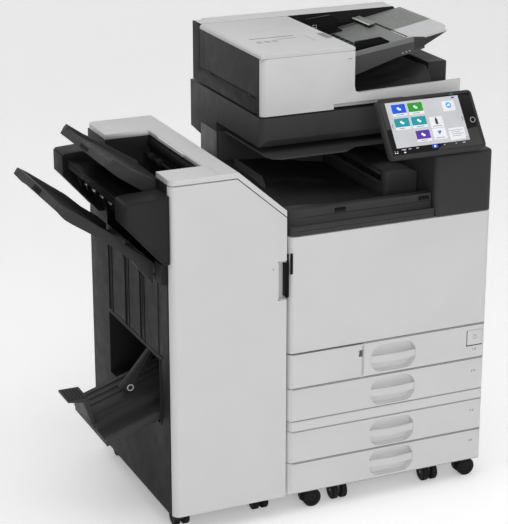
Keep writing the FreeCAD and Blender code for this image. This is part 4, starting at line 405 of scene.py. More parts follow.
def rounded(u_low, v_low, u_high, v_high, radius, steps=6):
    """A rectangle with round corners."""
    corners = ((u_high - radius, v_low + radius, -90), (u_high - radius, v_high - radius, 0),
               (u_low + radius, v_high - radius, 90), (u_low + radius, v_low + radius, 180))
    outline = []
    for u, v, start in corners:
        for step in range(steps + 1):
            angle = math.radians(start + 90 * step / steps)
            outline.append((u + radius * math.cos(angle), v + radius * math.sin(angle)))
    return outline


def about(point, u_low, v_low, u_high, v_high, radius, steps=6):
    """A rectangle with round corners, given by its distances from a point."""
    u, v = point
    return rounded(u + u_low, v + v_low, u + u_high, v + v_high, radius, steps)


def circle(u, v, radius, steps=24):
    return [(u + radius * math.cos(math.tau * step / steps), v + radius * math.sin(math.tau * step / steps))
            for step in range(steps)]


def row(outline, count, du, dv=0.0):
    """The same outline again and again, in equal steps."""
    return [[(u + step * du, v + step * dv) for u, v in outline] for step in range(count)]


def band(outline, width):
    """A closed loop drawn as a thin strip: quads between an outline and the same one moved inwards."""
    total = len(outline)
    inner = []
    for index, (u, v) in enumerate(outline):
        u_before, v_before = outline[index - 1]
        u_after, v_after = outline[(index + 1) % total]
        along = Vector((u_after - u_before, v_after - v_before)).normalized()
        inner.append((u - along.y * width, v + along.x * width))
    return [[outline[index], outline[(index + 1) % total], inner[(index + 1) % total], inner[index]]
            for index in range(total)]


def strip(points, width):
    """An open line drawn as flat quads of one width."""
    quads = []
    for (u0, v0), (u1, v1) in zip(points, points[1:]):
        along = Vector((u1 - u0, v1 - v0)).normalized() * (width / 2)
        quads.append([(u0 + along.y, v0 - along.x), (u1 + along.y, v1 - along.x),
                      (u1 - along.y, v1 + along.x), (u0 - along.y, v0 + along.x)])
    return quads


def seam(name, plane, points, width, low, high, material, body):
    """A thin drawn line."""
    prism(name, plane, strip(points, width), low, high, material, body)


def lathe(name, centres, axis, profile, material, body, steps=40):
    """Turned pieces: (distance along the axis, radius) pairs swept round the axis at each centre."""
    bm = bmesh.new()
    for base in centres:
        rings = []
        for along, radius in profile:
            ring = []
            for side, up in circle(0, 0, radius, steps):
                offset = (along, side, up) if axis == "x" else (side, along, up)
                ring.append(bm.verts.new(at(*map(sum, zip(base, offset)))))
            rings.append(ring)
        skin(bm, rings)
        bm.faces.new(rings[0])
        bm.faces.new(rings[-1])
    place(name, bm, material, body)


def tyre(width, bore, rim, crown, inset):
    """Profile of a roller: its tread stands out by the crown between two chamfers."""
    top = rim + crown
    return (0, bore), (0, rim), (inset, top), (width - inset, top), (width, rim), (width, bore)


SCREW_HEAD = ((0, 3.6), (0.8, 3.4), (1.4, 2.2), (1.4, 0.4))


def relief(name, x_range, y_range, counts, height, base, material, body):
    """A closed block whose top follows height(x, y) and whose underside follows base(x, y)."""
    bm = bmesh.new()
    nx, ny = counts
    xs = [x_range[0] + (x_range[1] - x_range[0]) * i / nx for i in range(nx + 1)]
    ys = [y_range[0] + (y_range[1] - y_range[0]) * j / ny for j in range(ny + 1)]
    top, low = [[[bm.verts.new(at(x, y, surface(x, y))) for y in ys] for x in xs]
                for surface in (height, base)]
    for i in range(nx):
        for j in range(ny):
            bm.faces.new((top[i][j], top[i + 1][j], top[i + 1][j + 1], top[i][j + 1]))
            bm.faces.new((low[i][j], low[i][j + 1], low[i + 1][j + 1], low[i + 1][j]))
    for i in range(nx):
        for j in (0, ny):
            bm.faces.new((top[i][j], low[i][j], low[i + 1][j], top[i + 1][j]))
    for j in range(ny):
        for i in (0, nx):
            bm.faces.new((top[i][j], top[i][j + 1], low[i][j + 1], low[i][j]))
    place(name, bm, material, body, angle=40)


def smoothstep(low, high, value):
    t = max(0.0, min(1.0, (value - low) / (high - low)))
    return t * t * (3 - 2 * t)


def piecewise(points, value):
    """Straight-line interpolation through (position, height) pairs."""
    if value <= points[0][0]:
        return points[0][1]
    for (x0, z0), (x1, z1) in zip(points, points[1:]):
        if value <= x1:
            return z0 + (z1 - z0) * (value - x0) / (x1 - x0)
    return points[-1][1]


# ---------------------------------------------------------------- the display
SCREEN = (22.0, 26.0, 235.0, 150.0)     # lit area in panel coordinates
CARD_LAYER = (0.0, 0.06)
TILE_LAYER = (0.05, 0.12)
PRINT_LAYER = (0.05, 0.1)
SIGN_LAYER = (0.11, 0.16)
RAISED_LAYER = (0.06, 0.13)
FLUSH_LAYER = (-0.12, 0.02)
BAR_LAYER = (-0.12, 0.0)


def screen_point(u, v):
    """A point of the lit area, from fractions right and down, in panel coordinates."""
    left, bottom, right, top = SCREEN
    return left + (right - left) * u, top - (top - bottom) * v


def screen_box(u_low, v_low, u_high, v_high):
    return screen_point(u_low, v_high) + screen_point(u_high, v_low)


def sheet(name, outlines, layer, material):
    """A thin flat piece on the operation panel."""
    prism(name, "panel", outlines, *layer, material, "panel")


def display():
    """Lit area of the touch panel with plain coloured tiles and signs."""
    card = lit("screen_card", (0.66, 0.67, 0.69), 0.3)
    blue = lit("tile_blue", (0.012, 0.085, 0.62))
    green = lit("tile_green", (0.02, 0.28, 0.03))
    teal = lit("tile_teal", (0.01, 0.27, 0.32))
    purple = lit("tile_purple", (0.09, 0.03, 0.33))
    white = lit("screen_white", (0.8, 0.82, 0.84), 0.32)
    ink = lit("screen_ink", (0.03, 0.04, 0.06), 0.05)
    sky = lit("screen_sky", (0.03, 0.30, 0.68), 0.5)
    backdrop = lit("screen_backdrop", (0.50, 0.51, 0.53), 0.22)
    sheet("screen_lit_area", rounded(*SCREEN, 1.0), FLUSH_LAYER, backdrop)
    tiles = ((blue, 0.07, 0.05, 0.26, 0.25), (green, 0.29, 0.05, 0.49, 0.25), (teal, 0.06, 0.36, 0.26, 0.55),
             (teal, 0.29, 0.36, 0.49, 0.55), (purple, 0.30, 0.67, 0.49, 0.86))
    for number, (tone, *share) in enumerate(tiles):
        low_u, low_v, high_u, high_v = screen_box(*share)
        u, v = (low_u + high_u) / 2, (low_v + high_v) / 2
        sheet(f"tile_card_{number}", rounded(low_u - 0.6, low_v - 7.5, high_u + 0.6, high_v + 0.6, 1.2),
              CARD_LAYER, card)
        sheet(f"tile_{number}", rounded(low_u, low_v, high_u, high_v, 0.8), TILE_LAYER, tone)
        sheet(f"tile_sign_{number}", [circle(u - 1.5, v + 1.2, 3.4, 16), about((u, v), -1, -4.6, 6, 0.6, 1)],
              SIGN_LAYER, white)
        sheet(f"tile_caption_{number}", about((u, low_v), -11, -4.6, 11 - number % 3 * 3, -3.4, 0.4, 2),
              PRINT_LAYER, ink)
    for number, share in enumerate((0.53, 0.79)):
        centre = screen_point(0.62, share)
        sheet(f"card_{number}", about(centre, -19, -15, 19, 15, 1.5), CARD_LAYER, card)
        sheet(f"card_caption_{number}", about(centre, -14, -11.5, 12, -10.2, 0.4, 2), PRINT_LAYER, ink)
    centre = screen_point(0.62, 0.50)
    sheet("card_bottle", [about(centre, -3.6, -10, 3.6, 5, 1.6), about(centre, -1.6, 4.6, 1.6, 9, 0.6)],
          RAISED_LAYER, ink)
    u, v = screen_point(0.62, 0.755)
    for number, (tone, du, dv) in enumerate(((sky, -2.6, 1.5), (purple, 2.6, 1.5), (green, 0, -2.6))):
        sheet(f"card_dot_{number}", circle(u + du, v + dv, 2.9, 14), RAISED_LAYER, tone)
    # card with a round sign at the upper right, message card at the lower right
    u, v = centre = screen_point(0.84, 0.20)
    sheet("round_card", about(centre, -18, -15, 18, 13, 1.5), CARD_LAYER, card)
    sheet("round_sign", circle(u, v + 1, 8.2, 26), TILE_LAYER, sky)
    sheet("round_sign_inner", [about(centre, -4.6, -1.6, 3.2, 1.4, 1.2), circle(u + 1.4, v + 1.6, 3.0, 14)],
          SIGN_LAYER, white)
    low_u, low_v, high_u, high_v = screen_box(0.745, 0.70, 0.96, 0.96)
    sheet("message_card", rounded(low_u, low_v, high_u, high_v, 1.2), CARD_LAYER, card)
    lines = [rounded(low_u + 7, high_v - 7 - line * 5.2, high_u - 4 - line % 2 * 9, high_v - 6 - line * 5.2,
                     0.4, 2) for line in range(4)]
    sheet("message_lines", lines, PRINT_LAYER, ink)
    sheet("message_dot", circle(low_u + 3.6, high_v - 6.4, 1.3, 12), PRINT_LAYER, blue)
    # page arrows
    for side, share, lean in (("left", 0.025, 2.4), ("right", 0.978, -2.4)):
        u, v = screen_point(share, 0.52)
        arrow = strip([(u + lean, v + 6), (u - lean, v), (u + lean, v - 6)], 1.1)
        sheet(f"arrow_{side}", arrow, (0.03, 0.1), ink)
    # bar under the lit area
    u, v = home = screen_point(0.51, 1.045)
    sheet("home_sign", about(home, -8, -4.5, 8, 4.5, 0.8), BAR_LAYER, blue)
    sheet("home_house", [[(u - 3.4, v - 0.2), (u + 3.4, v - 0.2), (u, v + 3.4)],
                         [(u - 2.2, v - 3.2), (u + 2.2, v - 3.2), (u + 2.2, v), (u - 2.2, v)]],
          (-0.02, 0.05), white)
    marks = [about(screen_point(share, 1.04), -half, -0.8, half, 0.8, 0.5, 2)
             for share, half in ((0.09, 6.5), (0.17, 4.2), (0.27, 4), (0.64, 1.6), (0.80, 1.6), (0.91, 4.2))]
    sheet("bar_marks", marks, BAR_LAYER, MARK_PALE)
    # lamps and signs on the bezel
    lamps = [rounded(13, 12.4, 16, 15.0, 0.6, 2), rounded(19, 12.4, 22, 15.0, 0.6, 2),
             rounded(39, 11.8, 45, 14.4, 0.6, 2), rounded(13, 17.4, 15, 18.6, 0.4, 2),
             rounded(20, 17.4, 22, 18.6, 0.4, 2), rounded(41, 17.4, 43, 18.6, 0.4, 2)]
    sheet("bezel_lamps", lamps, FLUSH_LAYER, white)
    sheet("bezel_signs", rounded(213, 154.6, 222, 156.6, 0.6, 2), FLUSH_LAYER, teal)
    sheet("screen_sign_purple", about(screen_point(0.93, 0.035), -5, -2, 3, 2, 0.6, 2), (0.02, 0.07), purple)
    page = band(rounded(*screen_box(0.955, 0.93, 0.99, 0.985), 0.8, 3), 0.7)
    sheet("screen_sign_ink", page, (0.02, 0.08), ink)
    panel_ring("panel_button_ring", 259.0, 78.9, 7.4, 6.5)


def panel_ring(name, u, v, outer, inner):
    """Thin raised ring on the panel's face, round the button at its right."""
    bm = bmesh.new()
    profile = ((inner, -0.1), (inner, 0.25), (outer - 0.3, 0.3), (outer, 0.1), (outer, -0.1))
    rings = [[bm.verts.new(on_panel(*point, height)) for point in circle(u, v, radius, 40)]
             for radius, height in profile]
    skin(bm, rings + rings[:1])
    place(name, bm, MARK_PALE, "panel")


# ---------------------------------------------------------------- front marks
DIGITS = {
    1: [[(1, 0), (1, 5)], [(0, 4), (1, 5)]],
    2: [[(0, 5), (2.4, 5), (2.4, 2.6), (0, 2.4), (0, 0), (2.6, 0)]],
    3: [[(0, 5), (2.4, 5), (2.4, 0), (0, 0)], [(0.5, 2.5), (2.4, 2.5)]],
    4: [[(2, 0), (2, 5), (0, 1.6), (2.8, 1.6)]],
}


def tray_marks():
    """A number and a small stack sign on every tray."""
    for number, z in ((1, 385), (2, 322), (3, 205), (4, 115)):
        quads = []
        for line in DIGITS[number]:
            quads += strip([(545 + u, z + v) for u, v in line], 0.8)
        for sheet_z in (z + 0.6, z + 2.6, z + 4.6):
            quads += strip([(551, sheet_z), (556.5, sheet_z)], 0.7)
        prism(f"tray_mark_{number}", "xz", quads, -0.15, 0.05, CABINET, f"tray_{number}")


def front_seams():
    """Painted shadow lines along the edges of the trays, the waste toner door and the front cover."""
    edges = {
        "tray_4": (12, 59, 149), "tray_3": (12, 149, 240), "tray_2": (12, 268, 361),
        "tray_1": (219, 361, 459), "waste_toner_door": (12, 361, 459), "front_cover": (12, 459, 777),
    }
    for node, (x, low, high) in edges.items():
        end = 208 if node == "waste_toner_door" else 578
        lines = strip([(x, low + 2.2), (end, low + 2.2)], 1.1)
        if node != "front_cover":
            lines += strip([(x, high - 2.2), (end, high - 2.2)], 1.1)
        if node in ("tray_1", "waste_toner_door"):
            side = 216.4 if node == "tray_1" else 211.4
            lines += strip([(side, low + 8), (side, high - 8)], 0.9)
        prism(f"edge_shadow_{node}", "xz", lines, -0.1, 0.3, MARK, node)


def switch_marks():
    """Main switch sign on its flap, a ring with a short upright line, and the mark on the finisher's door."""
    u, v = 551.5, 423
    ring = band(circle(u, v, 6.2, 32), 0.9)
    prism("flap_sign", "xz", ring + strip([(u, v + 0.5), (u, v + 4.6)], 1.0), 0.22, 0.45, MARK, "power_flap")
    seam("button_sign", "xz", [(u, 417), (u, 425)], 1.4, 4.2, 4.5, MARK_PALE, "power_button")
    prism("door_mark", "xz", rounded(-46, 697, -44.4, 703.5, 0.6, 3), -0.3, 0.1, MARK, "finisher_door")


# ------------------------------------------------------------- output section
def output_floor():
    """Sculpted floor of the output tray: soft steps that lift the paper."""
    ramp_line = ((0, 843.6), (40, 843.6), (150, 836.6), (240, 822.6), (316, 812.7))

    def height(x, y):
        level = piecewise(ramp_line, x)
        shelf = smoothstep(0, 46, y - 150 - 0.38 * x)
        ridge = smoothstep(0, 34, y - 258 + 0.10 * x) * smoothstep(0, 60, 262 - x)
        hollow = smoothstep(0, 60, x - 214) * smoothstep(0, 60, 300 - y)
        return level + 0.5 + 3.4 * shelf + 5.2 * ridge - 0.35 * hollow

    relief("output_floor_relief", (3, 316), (58, 468), (52, 60), height,
           lambda x, y: piecewise(ramp_line, x) - 0.4, OUTPUT, "copier")


def output_details():
    """Rim ledge, latch recesses, seam and trim of the output section."""
    prism("rim_ledge", "xy", [(42, 35.2), (414, 35.2), (414, 47), (48, 47), (26, 66), (12, 74), (12, 60),
                              (24, 50)], 825, 838.4, DARK, "copier", 0.8)
    prism("rim_seam", "yz", rounded(19.75, 812, 36, 840.15, 0.5, 2), 334.4, 335.2, BLACK, "copier")
    for number, x in enumerate((150, 392)):
        prism(f"latch_frame_{number}", "xz", band(rounded(x - 17, 822, x + 17, 836, 2.5), 1.5), 19.2, 21.5,
              DARK, "copier", 0.3)
        # near-black sheet filling each latch recess: painted shade of the pocket
        prism(f"latch_shade_{number}", "xz", rounded(x - 15.4, 823.6, x + 15.4, 834.4, 1.5), 19.6, 20.4,
              INNER, "copier")
        lever = [(x - 12, 825), (x + 13, 825), (x + 13, 829), (x - 4, 829.5), (x - 12, 832.4)]
        prism(f"latch_lever_{number}", "xz", lever, 18.8, 20.3, BLACK, "copier", 0.3)
    # groove lines along the rim and the trim
    seam("rim_groove", "xz", [(36, 819.5), (414, 819.5)], 0.9, 19.8, 20.4, INNER, "copier")
    seam("trim_groove", "xz", [(22, 790), (414, 790)], 0.8, 1.75, 2.4, INNER, "copier")
    prism("trim_lip", "xz", rounded(24, 799.6, 414, 803.2, 1.4, 4), 0.9, 6, DARK, "copier", 0.4)


def exit_details():
    """Lip, pressure rollers and guide ribs in the exit unit's mouth."""
    prism("exit_lip", "yz", rounded(124, 872.5, 449, 877.2, 1.6, 4), 314.6, 323, DARK, "copier", 0.5)
    lathe("exit_star_rollers", [(332, y, 871.4) for y in (152, 170, 224, 242, 332, 350)], "y",
          tyre(6, 1.2, 4.2, 0.6, 0.8), BLACK, "copier", 20)
    teeth = row(rounded(130, 840.2, 133, 851.5, 1, 2), 21, 15.4)
    prism("exit_ribs", "yz", teeth, 318.6, 326, DARK, "copier", 0.25)
    seam("exit_front_line", "yz", [(122, 884), (452, 884)], 0.8, 319.6, 320.2, INNER, "copier")


def scanner_details():
    """Seams of the scanner and the scale, frame and reading strip round the glass."""
    seam("scanner_seam_left", "yz", [(474, 937.6), (586, 937.6)], 1.0, -0.2, 0.5, INNER, "copier")
    seam("scanner_seam_side", "yz", [(198, 981.6), (198, 1041)], 0.7, -0.15, 0.3, INNER, "copier")
    seam("scanner_line_front", "xz", [(18, 982.4), (569, 982.4)], 0.7, 176.8, 177.6, BLACK, "copier")
    ticks = [rounded(76 + step * 10, 226.5, 76.7 + step * 10, 230 if step % 5 else 224, 0.2, 1)
             for step in range(43)]
    prism("glass_scale", "xy", ticks, 1041.9, 1042.12, MARK_PALE, "copier")
    prism("glass_frame", "xy", band(rounded(69, 229, 515, 541, 3), 3.0), 1041.7, 1042.3, BLACK, "copier")
    prism("strip_glass", "xy", rounded(34, 232, 56, 538, 2), 1041.4, 1042.15, GLASS_DARK, "copier")


# --------------------------------------------------------------------- feeder
LID_TOP = 1209.8        # the lid's signs start just under its top face


def feeder_details():
    """Left panel groove and seam, generic loading signs on the lid, lever and status lamps."""
    cover = "feeder_cover"
    seam("side_seam_upright", "yz", [(557, 1091), (557, 1196)], 0.9, -0.2, 0.4, INNER, cover)
    seam("side_panel_line", "yz", [(208, 1092.6), (533, 1092.6)], 2.2, -0.2, 0.4, INNER, cover)
    seam("side_panel_jog", "yz", [(196, 1094.5), (208, 1094.5), (208, 1092.6)], 1.0, -0.2, 0.4, INNER, cover)
    # signs: page outlines with arrows and short rules in place of text
    signs = []
    for x in (48, 70, 92):
        signs += band(rounded(x, 300, x + 13, 320, 1.2, 3), 1.1)
        signs += strip([(x + 6.5, 304), (x + 6.5, 314)], 1.2)
        signs += strip([(x + 3.6, 311), (x + 6.5, 315), (x + 9.4, 311)], 1.2)
    signs += row(rounded(45, 350, 50, 355.5, 0.5, 1), 18, 7)
    signs += row(rounded(112, 325, 117.4, 328.6, 0.4, 1), 7, 8)
    prism("lid_signs", "xy", signs, LID_TOP, 1210.12, CABINET, cover)
    seam("lid_line", "xy", [(198, 275), (198, 345)], 1.2, LID_TOP, 1210.1, MARK, cover)
    prism("lid_lever", "xy", rounded(233, 282, 259, 358, 6), 1209.7, 1210.5, FLAP_GREY, cover, 0.3)
    # darker grey sheet in the lever's hollow: painted shade
    prism("lid_lever_hollow_shade", "xy", rounded(236, 286, 256, 350, 5), 1210.3, 1210.75, TRAY_GREY, cover)
    prism("tower_top_line", "xz", rounded(18, 1194.4, 262, 1198, 1), 177.2, 180, WHITE, "feeder_base", 0.4)
    # status lamps on the front corner of the tower
    lamps = row(rounded(246, 1176, 250, 1178.4, 1, 3), 2, 6.5)
    prism("feeder_lamps", "xz", lamps, 176.75, 177.1, MARK, "feeder_base")
    # painted shadow line at the joint of the feeder's front face below the tower
    seam("front_step_shadow", "xz", [(206, 1060.4), (407, 1060.4)], 0.8, 176.8, 177.5, MARK, "feeder_base")


def feeder_output():
    """Sculpted document output: a dished floor that sweeps up into the raised block."""
    body = "feeder_base"
    level = 1066.0
    sweep_line = ((300, 1065.2), (400, 1069), (470, 1085), (512, 1105), (521, 1113))

    def height(x, y):
        sweep = smoothstep(205, 262, y)
        bowl = 5 * smoothstep(0, 90, abs(y - 385) - 60) * smoothstep(0, 70, x - 330)
        groove = 1.2 * math.sin((y + 0.25 * x) / 13.0) * smoothstep(330, 420, x)
        lifted = piecewise(sweep_line, x) + 1.6 + bowl + groove * (1 - smoothstep(490, 519, x))
        return level + (lifted - level) * sweep

    relief("output_dish", (268, 519.6), (194, 584), (50, 66), height, lambda x, y: 1064.6, DISH_WITH_SHEEN, body)
    # the raised block's front, side and cap are skinned in the lighter dark grey over the feeder base's
    # near-black: painted sheen
    prism("block_front", "xz", rounded(520.4, level, 574.4, 1125.6, 3), 244.4, 247, DARK, body, 0.6)
    prism("block_side", "yz", rounded(245.4, level, 585, 1125.6, 3), 573.6, 575.5, DARK, body, 0.6)
    prism("block_cap", "xy", rounded(520.4, 245.4, 574.6, 585.6, 3), 1125.4, 1128, DARK, body, 0.8)
    prism("block_slot", "xy", [rounded(527, 392, 536, 470, 2, 3), rounded(546, 388, 560, 560, 2, 3)],
          1127.7, 1128.2, INNER, body)
    lathe("feeder_exit_rollers", [(258, y, 1112) for y in (300, 340, 430, 470)], "y",
          tyre(20, 2, 7, 1, 1), RUBBER, body, 24)
    prism("feeder_exit_wall", "yz", rounded(196, 1100, 584, 1128, 1.5, 3), 246, 250, DARK, body, 0.4)


def feeder_tray_details():
    """Ribs, rack slot, front wall and size marks of the input tray; walls and signs of its guides."""
    deck = ((283, 1149), (447, 1176), (485, 1186))
    rib = [(x, z - 0.6) for x, z in deck] + [(x, z + 0.22) for x, z in reversed(deck)]
    for number, y in enumerate(range(296, 520, 28)):
        prism(f"tray_rib_{number}", "xz", rib, y, y + 2.2, TRAY_GREY, "feeder_tray", 0.25)
    prism("tray_rack_0", "xz", [(352, 1160.1), (372, 1163.4), (372, 1163.8), (352, 1160.5)], 282, 516, INNER,
          "feeder_tray")
    prism("tray_wall_bevel", "xz", [(268.4, 1173), (283, 1174.6), (452, 1198), (452, 1210.4), (450, 1210.7),
                                    (283, 1186.7), (268.4, 1184.7)], 204.3, 210.7, MARK, "feeder_tray", 0.8)
    prism("tray_wall_end", "xz", [(454.4, 1175), (469, 1179), (485.4, 1184), (485.4, 1207.6),
                                  (454.4, 1210.4)], 204.2, 210.8, DARK, "feeder_tray", 0.8)
    prism("tray_size_marks", "xz", row(rounded(418, 1169.4, 423, 1170.8, 0.4, 1), 3, 10, 2.4), 204.7, 205.1,
          MARK_PALE, "feeder_tray")
    # skin and size marks of the rear guide's wing
    rear = "feeder_guide_rear"
    prism("wing_skin", "xz", [(458.4, 1186.9), (481.6, 1192.7), (481.6, 1193.5), (458.4, 1187.7)],
          475.4, 579.6, TRAY_GREY, rear, 0.2)
    for number, y in enumerate(range(482, 575, 13)):
        prism(f"wing_mark_{number}", "xz", [(459.6, 1187.9), (464, 1189), (464, 1189.3), (459.6, 1188.2)],
              y, y + 7, MARK_PALE, rear)
    cap = [(300, 1201.6), (374, 1207.6), (400, 1193.6), (400.4, 1196), (374.4, 1209.8), (299.5, 1204)]
    ribs = row([(308, 1156.2), (312, 1156.9), (312, 1159.6), (308, 1158.9)], 6, 14, 2.31)
    for side, wall, foot in (("front", 243.2, 262), ("rear", 546.8, 523)):
        prism(f"guide_cap_{side}", "xz", cap, wall, wall + 7, BLACK, f"feeder_guide_{side}", 0.5)
        prism(f"guide_ribs_{side}", "xz", ribs, foot, foot + 12, BLACK, f"feeder_guide_{side}", 0.2)
    page = band(rounded(322, 1172, 334, 1186, 1, 3), 0.9) + strip([(325, 1179), (331, 1179)], 0.9)
    prism("guide_sign", "xz", page, 547.6, 548.2, MARK_PALE, rear)


def flap_details():
    """Low ribs along the end flap and the skin of the wedge under it."""
    ribs = []
    for y in range(300, 566, 19):
        reach = 88 if y < 325 else 106
        ribs.append([(6, y), (reach, y), (reach, y + 5), (6, y + 5)])
    prism("flap_ribs", "flap", ribs, -0.4, 0.5, FLAP_TWO, "feeder_flap", 0.2)
    wedge = [along_flap(*point) for point in ((13.4, -5.6), (13.4, -24.6), (26, -26.7), (98, -5.6))]
    prism("flap_wedge_skin", "xz", wedge, 274.4, 297.6, DARK, "feeder_flap", 0.3)


# ------------------------------------------------------------------- finisher
def finisher_details():
    """Relief of the finisher's left side, well walls, seams and the door's grip."""
    # upright panels, frame strips and rails on the left side between stacker and booklet bay
    side = -322.0
    panels = [rounded(low, 482, high, 690, 3) for low, high in ((92, 186), (226, 300), (336, 428))]
    prism("side_panels", "yz", panels, side - 1.6, side + 0.4, CABINET, "finisher", 0.6)
    strips = [rounded(y, 478, y + 5, 700, 1, 3) for y in (189, 219, 303, 330, 431, 456)]
    prism("side_strips", "yz", strips, side - 3.2, side + 0.4, CABINET, "finisher", 0.5)
    prism("side_bead", "yz", rounded(66, 476, 470, 480, 1.5, 3), side - 2.6, side + 0.4, DARK,
          "finisher", 0.5)
    screws = [(side - 2.2, y, z) for y in (110, 172, 240, 286, 350, 414) for z in (492, 678)]
    lathe("side_screws", screws, "x", ((0, 0.8), (0, 3.2), (0.7, 3.8), (1.2, 3.8)), DARK, "finisher", 16)
    # booklet bay: its rim, and the rollers in it
    prism("bay_rim", "yz", band(rounded(82, 288, 468, 474, 4), 4.0), side - 2.0, side + 0.4, CABINET,
          "finisher", 0.5)
    prism("bay_roller_shaft", "xz", circle(-196, 402, 5, 20), 96, 230, AXLE, "finisher")
    lathe("bay_rollers", [(-196, y, 402) for y in (108, 150, 200)], "y", tyre(18, 5, 10, 1, 1), RUBBER,
          "finisher", 28)
    # walls of the top well: a rail over the rollers and thin guide fingers
    rail = [(-199, 918), (-196.3, 918), (-196.3, 948), (-199, 948), (-204, 940), (-204, 926)]
    prism("well_rail", "xz", rail, 96, 460, BLACK, "finisher", 0.5)
    prism("well_fingers", "yz", row(rounded(112, 880, 119, 946, 1, 2), 13, 26), -199.5, -196.2, CABINET,
          "finisher", 0.3)
    # inner strip of the white top cover with its small jogs
    jogs = [(-200.5, 92), (-196.4, 92), (-196.4, 464), (-200.5, 464), (-200.5, 392), (-204.5, 388),
            (-204.5, 214), (-200.5, 210)]
    prism("cover_inner_lip", "xy", jogs, 958, 965.6, WHITE, "finisher", 0.5)
    seam("cover_line", "xy", [(-190, 2), (-190, 90)], 0.5, 965.9, 966.12, MARK, "finisher")
    # liner, plate and edge of the door's handle recess, and the catch beside it
    door = "finisher_door"
    prism("grip_liner", "xz", band(rounded(-31.5, 615, -8.4, 718, 7), 1.6), 0.3, 15.6, WHITE, door, 0.4)
    prism("grip_plate", "xz", rounded(-12.5, 622, -9.2, 712, 1.2, 3), 1.5, 15.8, BLACK, door, 0.4)
    prism("grip_edge", "xz", rounded(-12.2, 619, -1.6, 715, 1.5, 3), -0.3, 1.2, INNER, door, 0.3)
    prism("grip_catch", "xz", rounded(1.8, 680, 9, 736, 1.5, 3), -0.2, 0.5, INNER, "front_cover", 0.2)


def hood_details():
    """Ends of the exit hood: chamfer beads, the paddle shaft and its fingers."""
    edge = [(-432, 863), (-339, 756), (-325, 756), (-325, 922), (-429, 916), (-432, 911)]
    for side, low in (("front", 3.6), ("rear", 559.6)):
        prism(f"hood_bead_{side}", "xz", band(edge, -2.2), low, low + 1.8, CABINET, "finisher", 0.4)
    lathe("paddle_shaft", [(-392, 81, 852)], "y", ((0, 2.0), (0, 4.0), (403, 4.0), (403, 2.0)), AXLE,
          "finisher", 20)
    lathe("paddles", [(-392, y, 852) for y in (126, 188, 250, 312, 374, 430)], "y",
          tyre(14, 4, 11, 1, 1.5), RUBBER, "finisher", 24)
    saddle = [(-423, 896), (-404, 890), (-372, 876), (-340, 869), (-322.5, 868), (-322.5, 885), (-345, 887),
              (-380, 893), (-410, 902), (-423, 904)]
    prism("hood_saddle", "xz", saddle, 82, 483, CABINET, "finisher", 1.0, 3)


def tray_skin(name, body, deck, low, high, edge):
    """Ribbed inner surface and the pull-out bar along the outer edge of an output tray."""
    inner_low, inner_high = low + 26, high - 26
    count = 9
    outline = [(x, z - 0.4) for x, z in deck] + [(x, z + 1.3) for x, z in reversed(deck)]
    for number in range(count):
        y = inner_low + 6 + (inner_high - inner_low - 17) * number / (count - 1)
        prism(f"{name}_rib_{number}", "xz", outline, y, y + 5, DARK, body, 0.5)
    prism(f"{name}_bar", "xz", edge, inner_low, inner_high, DARK, body, 0.9)
    middle = (low + high) / 2
    (x0, z0), (x1, z1) = edge[:2]
    along = Vector((x1 - x0, z1 - z0)).normalized()

    def moved(x, z, inward, outward):
        return x + along.x * inward - along.y * outward, z + along.y * inward + along.x * outward

    grip = [moved(x0, z0, 3, 0.4), moved(x1, z1, -3, 0.4), moved(x1, z1, -3, -1), moved(x0, z0, 3, -1)]
    prism(f"{name}_grip", "xz", grip, middle - 30, middle + 30, INNER, body)


def booklet_details():
    """Ribs of the booklet tray, grip of its stop and the ring on its arm."""
    for number, y in enumerate((186, 214, 268, 300, 330)):
        prism(f"booklet_rib_{number}", "xz", [(-460, 288.6), (-230, 362.8), (-230, 364.6), (-460, 290.4)],
              y, y + 3, DARK, "finisher", 0.4)
    prism("booklet_edge", "xz", [(-468, 271.6), (-330, 317.2), (-330, 320.2), (-468, 274.6)],
          95.6, 102.6, DARK, "finisher", 0.6)
    prism("stop_grip", "xz", [(-544, 362), (-492, 362), (-493, 363.6), (-543, 363.6)], 170, 240, DARK,
          "booklet_stop", 0.5)
    ribs = row([(-540, 363.2), (-536, 363.2), (-536, 364.6), (-540, 364.6)], 5, 9)
    prism("stop_ribs", "xz", ribs, 176, 234, BLACK, "booklet_stop", 0.3)
    prism("arm_rib", "xz", [(-372, 337.4), (-268, 459), (-266, 457.4), (-370, 335.8)], 244, 258, DARK,
          "booklet_arm", 0.4)
    bm = bmesh.new()
    rings = []
    for right, up in circle(0, 0, 1, 26):
        rings.append([bm.verts.new(at(-349 + (8 + out) * right, 238.4 + back, 337 + (8 + out) * up))
                      for out, back in circle(0, 0, 1.7, 10)])
    skin(bm, rings + rings[:1])
    place("arm_roller_ring", bm, MARK_PALE, "booklet_arm")


# --------------------------------------------------------- wheels, sides, rear
WHEEL_RADIUS = 25.0
WHEEL_HEIGHT = 25.5
WHEELS = {
    "left_caster_wheels": ("y", [(83, 44)]), "right_caster_wheels": ("y", [(555, 44)]),
    "inner_left_wheels": ("x", [(167, 48)]), "inner_right_wheels": ("x", [(444, 48)]),
    "finisher_left_caster_wheels": ("x", [(-279, 78)]), "finisher_right_caster_wheels": ("x", [(-53, 78)]),
    "rear_wheels": ("x", [(60, 520), (527, 520)]), "finisher_rear_wheels": ("x", [(-270, 540), (-60, 540)]),
}


def beside(axis, places, *shifts):
    """Points at wheel height, moved along a wheel's axis from the middle of each pair."""
    return [(x + shift, y, WHEEL_HEIGHT) if axis == "x" else (x, y + shift, WHEEL_HEIGHT)
            for x, y in places for shift in shifts]


